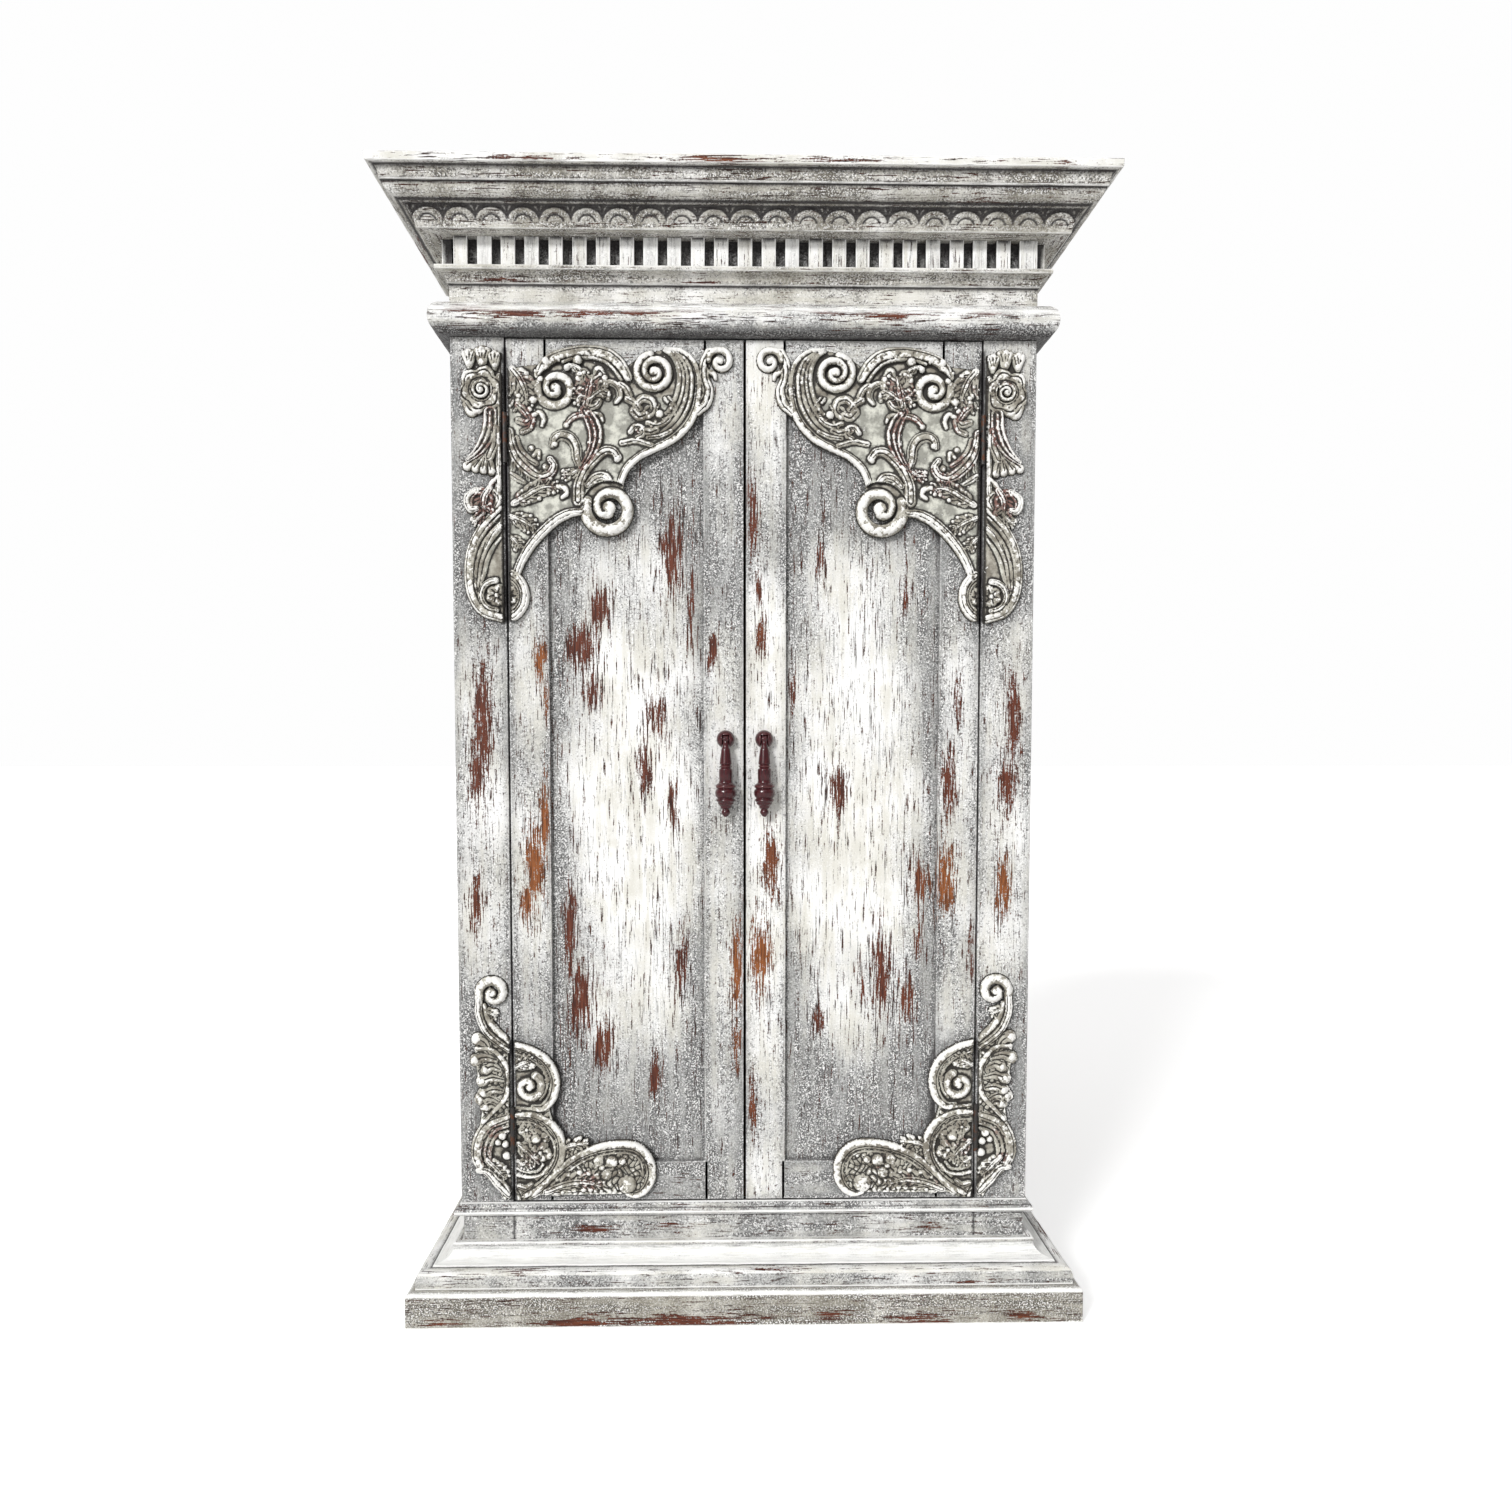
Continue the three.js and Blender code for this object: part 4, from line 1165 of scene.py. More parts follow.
# ---- carvings ----
# Drawn on the left front: u runs from the hinge seam towards the middle of the case (negative
# on the fixed stile), v is the height above the floor. The right side is the mirror image.
SEAM_CLEAR = 5.0
DOOR_TOP_EDGE = [
    (5, 1768), (40, 1772), (66, 1776), (100, 1790), (155, 1796), (212, 1770), (250, 1790), (290, 1801),
    (325, 1792), (352, 1748), (342, 1690), (318, 1652), (275, 1626), (240, 1610), (216, 1580),
    (206, 1540), (170, 1500), (128, 1503), (93, 1492), (69, 1473), (45, 1447), (25, 1416),
    (14, 1388), (5, 1380),
]
DOOR_FOOT_EDGE = [
    (5, 512), (38, 500), (66, 480), (80, 447), (74, 411), (70, 390), (84, 350), (104, 326),
    (153, 308), (196, 316), (232, 312), (254, 292), (260, 262), (248, 232), (217, 224), (120, 222),
    (50, 222), (5, 221),
]
STILE_TOP_EDGE = [
    (-6, 1755), (-12, 1790), (-42, 1798), (-74, 1790), (-68, 1760), (-74, 1735), (-66, 1700),
    (-40, 1690), (-32, 1670), (-38, 1625), (-60, 1596), (-34, 1585), (-24, 1560), (-56, 1535),
    (-50, 1500), (-62, 1455), (-72, 1400), (-66, 1350), (-44, 1322), (-12, 1310), (-6, 1320),
]
STILE_FOOT_EDGE = [
    (-6, 500), (-30, 522), (-42, 560), (-60, 592), (-64, 560), (-50, 525), (-70, 505), (-66, 450),
    (-58, 400), (-66, 345), (-74, 300), (-62, 268), (-34, 240), (-6, 224),
]


def spline(points, spacing=2.0):
    """Smooth curve through points, with its share of the way along: (points, shares)."""
    points = np.array(points, float)
    if len(points) == 2:
        count = max(2, int(np.linalg.norm(points[1] - points[0]) / spacing))
        share = np.linspace(0, 1, count + 1)
        return points[0] + (points[1] - points[0]) * share[:, None], share
    padded = np.concatenate([[2 * points[0] - points[1]], points, [2 * points[-1] - points[-2]]])
    line = [points[0]]
    for i in range(1, len(padded) - 2):
        p0, p1, p2, p3 = padded[i - 1:i + 3]
        count = max(2, int(np.linalg.norm(p2 - p1) / spacing))
        for t in np.linspace(0, 1, count + 1)[1:]:
            line.append(0.5 * (2 * p1 + (p2 - p0) * t + (2 * p0 - 5 * p1 + 4 * p2 - p3) * t * t
                               + (3 * p1 - p0 - 3 * p2 + p3) * t ** 3))
    line = np.array(line)
    far = np.concatenate([[0], np.cumsum(np.linalg.norm(np.diff(line, axis=0), axis=1))])
    return line, far / far[-1]


def spread(value, share):
    """A constant, or a list of values spaced evenly along a stroke."""
    if np.ndim(value) == 0:
        return np.full(len(share), float(value))
    return np.interp(share, np.linspace(0, 1, len(value)), value)


# A stroke's cross-section: height for s from -1 on its right edge to 1 on its left edge.
def crowned(s, power):
    return np.sqrt(np.clip(1 - np.abs(s) ** power, 0, 1))


def rounded(s):
    return crowned(s, 2)


def ribbon(s):
    """Band of three strands, the middle one widest."""
    return crowned(s, 4) * (1 - 0.28 * (bell(s + 0.46, 0.11) + 0.8 * bell(s - 0.34, 0.10)))


def rimmed(s):
    """Band with a high outer rim, sloping in."""
    return crowned(s, 4) * (0.82 + 0.18 * s) * (1 - 0.22 * bell(s + 0.40, 0.12))


def fluted(s):
    """Band of close flutes."""
    return crowned(s, 4) * (0.84 + 0.16 * np.cos(3 * math.pi * s))


def blade(s):
    """Leaf lobe, steep on one side."""
    return crowned(s, 2) * (0.92 + 0.08 * s) * (1 - 0.24 * bell(s + 0.1, 0.14))


# how much broader than its stated width each section is drawn
SWELL = {rounded: 1.55, ribbon: 1.9, rimmed: 1.75, fluted: 1.6, blade: 1.9}


def toward(degrees):
    """Unit vector in a direction."""
    angle = math.radians(degrees)
    return np.array([math.cos(angle), math.sin(angle)])


def heading(line, i):
    """Unit vectors along a line at its point i, and to its left."""
    run = line[i + 1] - line[i]
    tangent = run / (np.linalg.norm(run) + 1e-9)
    return tangent, np.array([-tangent[1], tangent[0]])


class Relief:
    """Height map of one carving."""

    def __init__(self, low, high, seam_at, step=1.3):
        if seam_at > 0:
            inner = np.arange(seam_at + 1.4, high[0], step)
            self.us = np.concatenate([[seam_at, seam_at + 0.4], inner])
        else:
            inner = np.arange(seam_at - 1.4, low[0], -step)
            self.us = np.concatenate([[seam_at, seam_at - 0.4], inner])[::-1]
        self.seam_at = seam_at
        self.step = step
        self.vs = np.arange(low[1], high[1] + step, step)
        self.u, self.v = np.meshgrid(self.us, self.vs)
        # for each cell: its height, how much red wood shows, and whether it is flat ground
        self.height = np.zeros(self.u.shape)
        self.red = np.zeros(self.u.shape)
        self.ground = np.zeros(self.u.shape)
        # how much soot and painted shade darken the low parts, and how much small leafage fills the
        # ground
        self.low_soot_and_shade = 0.0
        self.leafage = 0.0

    def window(self, low, high):
        columns = slice(*np.searchsorted(self.us, [low[0], high[0]]))
        rows = slice(*np.searchsorted(self.vs, [low[1], high[1]]))
        return rows, columns

    def disc(self, centre, radius):
        """Window round a point, and how far each cell is from it as a share of radius."""
        part = self.window(np.array(centre) - radius, np.array(centre) + radius)
        return part, np.hypot(self.u[part] - centre[0], self.v[part] - centre[1]) / radius

    def around(self, line, values, pad):
        """Window round a line; in it the distance, side and values at the nearest point."""
        part = self.window(line.min(0) - pad, line.max(0) + pad)
        u, v = self.u[part], self.v[part]
        best = np.full(u.shape, 1e9)
        side = np.zeros(u.shape)
        found = [np.zeros(u.shape) for _ in values]
        for i in range(len(line) - 1):
            a, b = line[i], line[i + 1]
            run = b - a
            long = run @ run
            if long < 1e-9:
                continue
            t = np.clip(((u - a[0]) * run[0] + (v - a[1]) * run[1]) / long, 0, 1)
            du, dv = u - a[0] - t * run[0], v - a[1] - t * run[1]
            far = np.hypot(du, dv)
            closer = far < best
            best = np.where(closer, far, best)
            side = np.where(closer, np.sign(run[0] * dv - run[1] * du), side)
            for k, value in enumerate(values):
                found[k] = np.where(closer, value[i] + t * (value[i + 1] - value[i]), found[k])
        return part, best, side, found

    def raise_to(self, part, height):
        self.height[part] = np.maximum(self.height[part], height)

    def stroke(self, points, width, height, section=rounded, red=0.0):
        """Raised band along a curve; width and height may be lists, evenly spaced along it."""
        line, share = spline(points)
        wide, tall = spread(width, share) * SWELL[section] / 2, spread(height, share)
        part, far, side, (half, top) = self.around(line, [wide, tall], wide.max() + 2)
        s = np.where(side >= 0, 1, -1) * far / np.maximum(half, 0.1)
        shape = np.where(np.abs(s) < 1, top * section(np.clip(s, -1, 1)), 0)
        if red:
            self.red[part] = np.where(shape > self.height[part], red, self.red[part])
        self.raise_to(part, shape)

    def sink(self, centre, radius, floor):
        """Round hollow, no deeper than floor."""
        part, far = self.disc(centre, radius)
        kept = self.height[part]
        self.height[part] = np.where(far < 1, np.minimum(kept, floor), kept)

    def bead(self, centre, radius, height, base=4.0):
        """Round boss that rises from base to height."""
        part, far = self.disc(centre, radius)
        rise = base + (height - base) * crowned(far, 2)
        self.raise_to(part, np.where(far < 1, rise, 0))

    def beads(self, height, *places):
        """Beads of one height: each place is (u, v, radius)."""
        for u, v, radius in places:
            self.bead((u, v), radius, height)

    def volute(self, centre, radius, start, turn, turns=1.4, height=15.0, floor=2.0, band=0.50):
        """Spiral scroll: start is the outer end's direction in degrees, turn is +1 or -1."""
        self.sink(centre, radius * 0.96, floor)
        share = np.linspace(0, 1, 90)
        angle = math.radians(start) + turn * share * turns * 2 * math.pi
        reach = radius * (0.82 - 0.64 * share ** 1.6)
        line = np.stack([centre[0] + reach * np.cos(angle), centre[1] + reach * np.sin(angle)], -1)
        wide = radius * (band - 0.15 * share) / 2
        tall = height * (0.80 + 0.16 * share)
        part, far, _, (half, top) = self.around(line, [wide, tall], wide.max() + 2)
        s = far / half
        self.raise_to(part, np.where(s < 1, top * rounded(np.clip(s, 0, 1)), 0))
        self.bead(centre, radius * 0.24, height, height * 0.55)

    def leaf(self, spine, width, height, lobes=5, open_angle=50, red=0.0):
        """Acanthus leaf: lobes either side of a grooved spine."""
        line, _ = spline(spine)
        lean = math.radians(open_angle)
        for k in range(lobes):
            along = (k + 0.5) / lobes
            i = min(int(along * (len(line) - 2)), len(line) - 2)
            tangent, normal = heading(line, i)
            size = width * 0.72 * math.sin(math.pi * (0.22 + 0.66 * along))
            for sign in (-1, 1):
                out = (tangent * math.cos(lean) + sign * normal * math.sin(lean)) * size
                tip = line[i] + out + tangent * 0.175 * size
                self.stroke([line[i], line[i] + out * 0.6, tip], [size * 0.4, size * 0.54, size * 0.3],
                            [height * 0.72, height * 0.95, height * 0.78], blade, red)
                self.bead(tip, max(2.4, size * 0.20), height * 0.95, height * 0.6)
        self.stroke(spine, [width * 0.22, width * 0.26, width * 0.10],
                    [height, height * 1.05, height * 0.8], ribbon, red)

    def frill(self, points, side, count, size, height, red=0.0):
        """Row of small leaf lobes along one side of a line (+1 is its left)."""
        line, _ = spline(points)
        for k in range(count):
            i = min(int((k + 0.5) / count * (len(line) - 1)), len(line) - 2)
            tangent, normal = heading(line, i)
            # the lobes' lengths vary in a cycle of five
            long = size * (0.8 + 0.35 * ((k * 7) % 5) / 4)
            out = (normal * side * 0.85 + tangent * 0.55) * long
            tip = line[i] + out
            self.stroke([line[i], line[i] + out * 0.55 + tangent * long * 0.1, tip],
                        [size * 0.36, size * 0.44, size * 0.26],
                        [height * 0.8, height, height * 0.75], blade, red)
            self.bead(tip, max(2.8, size * 0.27), height * 0.95, height * 0.6)

    def flower(self, centre, radius, height, petals=5, phase=90.0, red=0.0):
        """Petals round a bead, the first of them at phase degrees."""
        for k in range(petals):
            tip = np.array(centre) + toward(phase + 360.0 * k / petals) * radius * 0.66
            self.stroke([centre, tip], [radius * 0.4, radius * 0.78],
                        [height * 0.7, height], blade, red)
        self.bead(centre, radius * 0.27, height * 1.1, height * 0.7)

    def plate(self, edge, thickness, fade=None):
        """Flat ground inside an outline, with its edge rounded over; fade thins it from below."""
        line, _ = spline(edge + [edge[0]], 4.0)
        inside = np.zeros(self.u.shape, bool)
        for a, b in zip(line[:-1], line[1:]):
            if a[1] == b[1]:
                continue
            spans = (a[1] > self.v) != (b[1] > self.v)
            inside ^= spans & (self.u < (b[0] - a[0]) * (self.v - a[1]) / (b[1] - a[1]) + a[0])
        part, far, _, _ = self.around(line, [], 6)
        depth = np.full(self.u.shape, 9.0)
        depth[part] = np.minimum(far, 9)
        height = thickness * np.sqrt(np.clip(1 - (1 - np.clip(depth / 2.4, 0, 1)) ** 2, 0, 1))
        if fade:
            height = height * (1 - 0.82 * np.clip((self.v - fade[0]) / (fade[1] - fade[0]), 0, 1))
        height = np.where(inside, height, 0)
        self.height = np.maximum(self.height, height)
        self.ground = np.where(inside, 1.0, 0.0)

    def blurred(self, values, radius):
        """Mean of values within a square window."""
        cells = max(1, int(radius / self.step))
        size = 2 * cells + 1
        padded = np.pad(values, cells, mode="edge")
        sums = np.cumsum(np.pad(padded, ((1, 0), (0, 0))), 0)
        rows = (sums[size:] - sums[:-size]) / size
        sums = np.cumsum(np.pad(rows, ((0, 0), (1, 0))), 1)
        return (sums[:, size:] - sums[:, :-size]) / size

    def chiselled(self):
        """Small irregular facets over the whole relief."""
        grain = np.random.default_rng(7).normal(0, 1, self.height.shape)
        fine, broad = self.blurred(grain, 1.4), self.blurred(grain, 4.2)
        return 0.44 * fine / fine.std() + 0.5 * broad / broad.std()

    def small_leaves(self):
        """Curled leaf lobes about 10 mm long that fill the field between the scrolls."""
        u, v = self.u / 3.4, self.v / 3.4
        bend_u = u + 1.6 * np.sin(0.55 * v + 0.9 * np.sin(0.31 * u))
        bend_v = v + 1.6 * np.sin(0.50 * u + 1.1 * np.sin(0.27 * v))
        lobe = np.abs(np.sin(bend_u)) * np.abs(np.sin(0.8 * bend_v))
        return 4.2 * lobe ** 0.6

    def worked(self):
        """Height with leafage and tool marks, with its soot and painted shade and its rubbed paint and
        painted highlights.
        """
        field = self.leafage * np.clip(1.5 - np.abs(self.height - 5.5), 0, 1)
        height = self.height + field * self.small_leaves()
        rough = self.chiselled() * (0.15 + 0.85 * np.clip((height - 7) / 3, 0, 1))
        height = height + rough * np.clip(height / 3, 0, 1)
        near, wide, broad = (self.blurred(height, radius) for radius in (2.6, 6.5, 13.0))
        # soot and painted shade in the hollows, rubbed paint and painted highlights on the tops
        dirt = 1.1 * np.clip((wide - height) / 3.6, 0, 1) + 0.9 * np.clip((near - height) / 1.4, 0, 1)
        bright = (np.clip((height - broad) / 5.0, 0, 1) ** 1.5
                  + 0.25 * np.clip((height - near) / 1.0, 0, 1))
        # painted shadow down the gap at the hinge seam, with no highlight there
        seam = bell(self.u - self.seam_at, 4.0) * (0.4 + 0.6 * (self.v > 1300))
        return height, np.maximum(dirt, 0.95 * seam), bright * (1 - seam)

    def shape(self, side):
        """(points, faces, marks) on one side of the case."""
        full, dirt, bright = self.worked()
        height = np.clip(full, 0, 16.0)
        height[:, 0 if self.seam_at > 0 else -1] = 0
        up = height > 0.05
        cell = up[:-1, :-1] | up[1:, :-1] | up[:-1, 1:] | up[1:, 1:]
        used = np.zeros(height.shape, bool)
        for rows in (slice(0, -1), slice(1, None)):
            for columns in (slice(0, -1), slice(1, None)):
                used[rows, columns] |= cell
        index = np.full(height.shape, -1)
        index[used] = np.arange(used.sum())
        r, c = np.nonzero(cell)
        faces = np.stack([index[r, c], index[r, c + 1], index[r + 1, c + 1], index[r + 1, c]], -1)
        x, z = side * (SEAM - self.u[used]), self.v[used]
        full = full[used]
        uneven = ripple((x, 61, 0.4), (z, 83, 1.9), (x + z, 37, 0))
        marks = {
            "dirt": np.clip(dirt[used] + self.low_soot_and_shade * np.clip((9 - full) / 4, 0, 1), 0, 1),
            "bright": np.clip(bright[used], 0, 1),
            "chip": np.clip(self.red[used] + 0.12 * uneven, 0, 1),
            "grey": self.ground[used] * (np.abs(full - 6) < 1.5),
        }
        return np.stack([x, CASE_FRONT - 0.06 - height[used], z], -1), faces.tolist(), marks


def c_scroll(relief, centre, radius, start, sweep, width, height, section=ribbon):
    """Arc band round a centre: start and sweep in degrees."""
    angles = np.radians(np.linspace(start, start + sweep, 9))
    points = [(centre[0] + radius * math.cos(a), centre[1] + radius * math.sin(a)) for a in angles]
    relief.stroke(points, width, height, section)


def between(first, last, share):
    """A curve part of the way from one to another with as many points."""
    return [tuple(np.array(a) * (1 - share) + np.array(b) * share) for a, b in zip(first, last)]


def door_top_relief():
    """The spandrel carving in the door's upper outer corner."""
    relief = Relief((SEAM_CLEAR, 1308), (424, 1808), SEAM_CLEAR)
    relief.plate(DOOR_TOP_EDGE, 6.0, (1690, 1778))
    draw_left_scroll(relief)
    draw_great_scroll(relief)
    draw_flower_and_stem(relief)
    draw_lower_scroll(relief)
    draw_seam_leaves(relief)
    return relief


def draw_left_scroll(relief):
    """Volute on the left with the arm arching over it."""
    arm = [(226, 1752), (209, 1777), (187, 1793), (153, 1799), (122, 1796), (93, 1788), (74, 1775),
           (64, 1755)]
    below = [(210, 1745), (198, 1762), (180, 1777), (152, 1784), (125, 1781), (110, 1776)]
    relief.stroke(arm, [10, 13, 14, 14, 13, 12, 12, 13], 13, rimmed)
    relief.stroke(between(arm[:6], below, 0.8), 5, 9.5)
    relief.volute((93, 1730), 40, 165, 1)
    relief.beads(14, (76, 1779, 8), (133, 1782, 9), (66, 1746, 6.5), (114, 1768, 6))
    relief.leaf([(118, 1772), (136, 1766), (143, 1745), (139, 1722)], 20, 11, 4)
    relief.frill(arm[1:6], 1, 7, 11, 11)
    relief.frill([(66, 1770), (57, 1745), (62, 1715)], -1, 3, 8, 11)


def draw_great_scroll(relief):
    """Large C-scroll with its volute, flutes, curl at the meeting edge and plain tail ribbon."""
    rim = [(296, 1801), (322, 1797), (343, 1780), (353, 1755), (354, 1725), (348, 1693), (332, 1664),
           (306, 1640), (275, 1624)]
    inner = [(292, 1800), (306, 1790), (316, 1772), (319, 1752), (316, 1730), (308, 1708), (297, 1690),
             (280, 1672), (262, 1660)]
    for k, share in enumerate((0.95, 0.74, 0.53, 0.32)):
        width = 8.0 if k % 2 == 0 else 6.5
        relief.stroke(between(rim, inner, share), [4, width, width, width, 5],
                      [8, 9.5 + k, 9.5 + k, 9, 7])
    tail = rim + [(247, 1610), (224, 1590), (212, 1566), (207, 1545)]
    relief.stroke(tail, [6, 8, 8, 9, 10, 10, 9, 8, 8, 8], 13.5, rimmed)
    relief.volute((274, 1761), 39, 105, 1, 1.75, 15.5, 2.0, 0.46)
    stem = [(354, 1702), (365, 1700), (372, 1722), (367, 1745), (364, 1768)]
    relief.stroke([(352, 1690), (366, 1708), (371, 1728), (365, 1750), (366, 1775), (376, 1795)],
                  [9, 14, 13, 11, 11, 12], 12, ribbon)
    relief.stroke(stem, 4, 13)
    relief.volute((394, 1781), 27, 170, -1, 1.1, 14.5, 2.5, 0.56)
    relief.stroke([(372, 1762), (383, 1758), (386, 1750)], [7, 8, 5], 11)
    relief.bead((283, 1684), 8.5, 15)
    for points, width in (
        ([(240, 1700), (252, 1712), (268, 1708), (272, 1692), (262, 1682)], 10),
        ([(236, 1690), (246, 1680), (258, 1684)], 11), ([(225, 1712), (238, 1704), (246, 1694)], 9),
        ([(262, 1668), (276, 1664), (290, 1668), (300, 1676)], 8),
        ([(230, 1652), (238, 1662), (250, 1660), (252, 1648), (242, 1642)], 7),
        ([(252, 1655), (266, 1652), (276, 1656)], 11), ([(262, 1642), (284, 1645), (304, 1654)], 6),
        ([(214, 1632), (240, 1636), (268, 1628)], 7), ([(228, 1718), (222, 1730), (212, 1738)], 8),
    ):
        relief.stroke(points, width, 12.5, blade)
    relief.leaf([(300, 1716), (312, 1700), (318, 1680)], 14, 10, 3)
    relief.frill([(318, 1700), (300, 1676), (272, 1658), (244, 1646)], -1, 7, 13, 12, 0.3)
    relief.frill([(296, 1722), (286, 1704), (262, 1700), (238, 1712)], 1, 4, 11, 12, 0.3)


def draw_flower_and_stem(relief):
    """Flower under the arm and the red stem that falls from it."""
    relief.leaf([(150, 1700), (156, 1724), (160, 1752)], 44, 13, 4, 52, 0.35)
    relief.leaf([(158, 1712), (170, 1722), (186, 1730)], 26, 13.5, 3, 48, 0.3)
    relief.leaf([(152, 1712), (140, 1716), (130, 1708)], 24, 13, 3, 50, 0.3)
    relief.stroke([(168, 1734), (182, 1740), (197, 1740), (208, 1731), (210, 1716), (203, 1706)],
                  [9, 8, 8, 8, 8, 5], 12, rimmed)
    relief.stroke([(182, 1730), (190, 1722), (189, 1712)], 7, 10)
    relief.stroke([(165, 1752), (172, 1764), (180, 1757)], [6, 10, 6], 9, blade)
    relief.stroke([(147, 1700), (158, 1696), (168, 1700), (174, 1708)], [8, 10, 9, 6], 13, blade)
    stem = [(146, 1690), (158, 1672), (165, 1650), (162, 1625), (152, 1603), (140, 1586)]
    beside = [(158, 1690), (170, 1672), (176, 1650), (172, 1625), (160, 1603), (144, 1586)]
    relief.stroke(stem, [12, 18, 19, 16, 12, 9], 12, fluted, 0.55)
    relief.stroke(between(stem, beside, 0.9), [4, 6, 6, 6, 5, 4], 12.5)
    relief.stroke([(152, 1680), (138, 1683), (124, 1678), (114, 1668)], [8, 8, 8, 6], 11.5, blade, 0.5)
    relief.frill(stem, -1, 5, 11, 11.5, 0.5)
    relief.frill(stem[:4], 1, 3, 9, 11, 0.4)
    relief.frill([(140, 1745), (136, 1715), (146, 1692)], -1, 4, 11, 12, 0.4)
    relief.bead((112, 1664), 6, 12)
    relief.stroke([(163, 1686), (174, 1682), (179, 1672)], [6, 8, 5], 11)
    relief.bead((152, 1688), 6, 13)


def draw_lower_scroll(relief):
    """Volute at the foot of the spandrel, its arm, and the ribbon along the lower edge."""
    arm = [(207, 1606), (197, 1617), (181, 1617), (163, 1603), (146, 1582), (135, 1556), (134, 1528)]
    relief.stroke(arm, [8, 10, 11, 11, 11, 12, 13], 12.5, ribbon)
    relief.bead((205, 1603), 6.5, 13)
    relief.stroke([(150, 1556), (165, 1570), (181, 1572), (190, 1561), (186, 1549), (176, 1548)],
                  [7, 9, 9, 9, 8, 5], 11.5, ribbon)
    relief.bead((164, 1560), 5, 11)
    relief.volute((189, 1514), 52, 165, 1, 1.3, 15.5)
    edge = [(140, 1507), (118, 1505), (93, 1493), (69, 1473), (45, 1446), (27, 1416), (17, 1390)]
    relief.stroke(edge, [7, 10, 10, 10, 10, 9, 8], 12, ribbon)
    hook = [(140, 1586), (134, 1606), (132, 1627), (121, 1644), (104, 1649), (90, 1642), (86, 1628)]
    within = [(128, 1592), (122, 1606), (120, 1622), (113, 1632), (104, 1636), (98, 1634), (97, 1628)]
    relief.stroke(hook, [8, 9, 9, 9, 9, 9, 8], 12, rimmed)
    relief.bead((91, 1630), 6.5, 12)
    relief.stroke(between(hook, within, 0.8), 4, 8)
    relief.frill([(150, 1590), (140, 1566), (128, 1540)], 1, 3, 10, 12, 0.3)
    relief.frill([(196, 1610), (176, 1610), (158, 1592)], -1, 3, 8, 11, 0.3)
    relief.leaf([(134, 1583), (120, 1576), (104, 1574)], 19, 12, 3, 45, 0.35)
    relief.leaf([(15, 1522), (40, 1536), (66, 1550), (96, 1553)], 32, 12.5, 5, 42, 0.25)
    relief.stroke([(96, 1553), (108, 1550), (112, 1540), (104, 1533)], [9, 9, 8, 6], 12.5)
    relief.leaf([(10, 1498), (30, 1490), (54, 1476)], 26, 11.5, 4, 50)
    relief.leaf([(8, 1462), (18, 1452), (24, 1440)], 20, 11, 3, 50)
    # half of the roundel that the hinge seam splits
    c_scroll(relief, (-12, 1354), 45, 60, -120, 10, 13)
    c_scroll(relief, (-8, 1354), 31, 60, -120, 6, 10)
    relief.flower((6, 1354), 15, 12, 6, 0)
    relief.stroke([(17, 1392), (26, 1378), (31, 1366)], [8, 10, 9], 13, ribbon)


def draw_seam_leaves(relief):
    """Leaves and small scrolls beside the hinge seam."""
    relief.leaf([(14, 1764), (28, 1746), (38, 1722), (40, 1700)], 36, 12, 5, 48, 0.25)
    relief.frill([(8, 1740), (14, 1712), (26, 1690)], -1, 4, 10, 11, 0.3)
    relief.stroke([(10, 1758), (14, 1742), (14, 1725)], [8, 9, 6], 10, blade)
    relief.stroke([(24, 1700), (36, 1690), (46, 1676)], [9, 12, 9], 12, blade, 0.5)
    relief.beads(13.5, (52, 1709, 8.5), (45, 1692, 6), (26, 1716, 6))
    relief.stroke([(52, 1681), (64, 1686), (71, 1675), (68, 1663)], [7, 8, 8, 6], 12)
    relief.stroke([(24, 1672), (40, 1668), (50, 1680), (46, 1660), (32, 1652)], [8, 10, 9, 8, 7], 11.5,
                  blade, 0.4)
    low = [(9, 1652), (12, 1628), (22, 1604), (42, 1583), (62, 1571), (80, 1575), (89, 1589), (82, 1602)]
    relief.stroke(low, [8, 10, 12, 13, 12, 10, 9, 7], 12.5, ribbon, 0.35)
    relief.stroke([(20, 1640), (26, 1620), (40, 1604), (56, 1594)], [7, 9, 9, 7], 11, blade, 0.4)
    for k in range(5):
        along = k / 4
        foot = np.array([16 + 48 * along, 1598 - 36 * along])
        relief.stroke([foot, foot + np.array([-2 + 8 * along, -15])], [8, 7], [11, 8], blade)
    relief.frill(low[2:7], 1, 5, 10, 11, 0.3)
    relief.bead((74, 1588), 7, 13)
    relief.stroke([(52, 1608), (60, 1616), (62, 1604)], [6, 8, 6], 11)
    relief.bead((48, 1622), 6, 11)
    relief.stroke([(10, 1575), (20, 1568), (34, 1560)], [7, 9, 6], 10, blade)


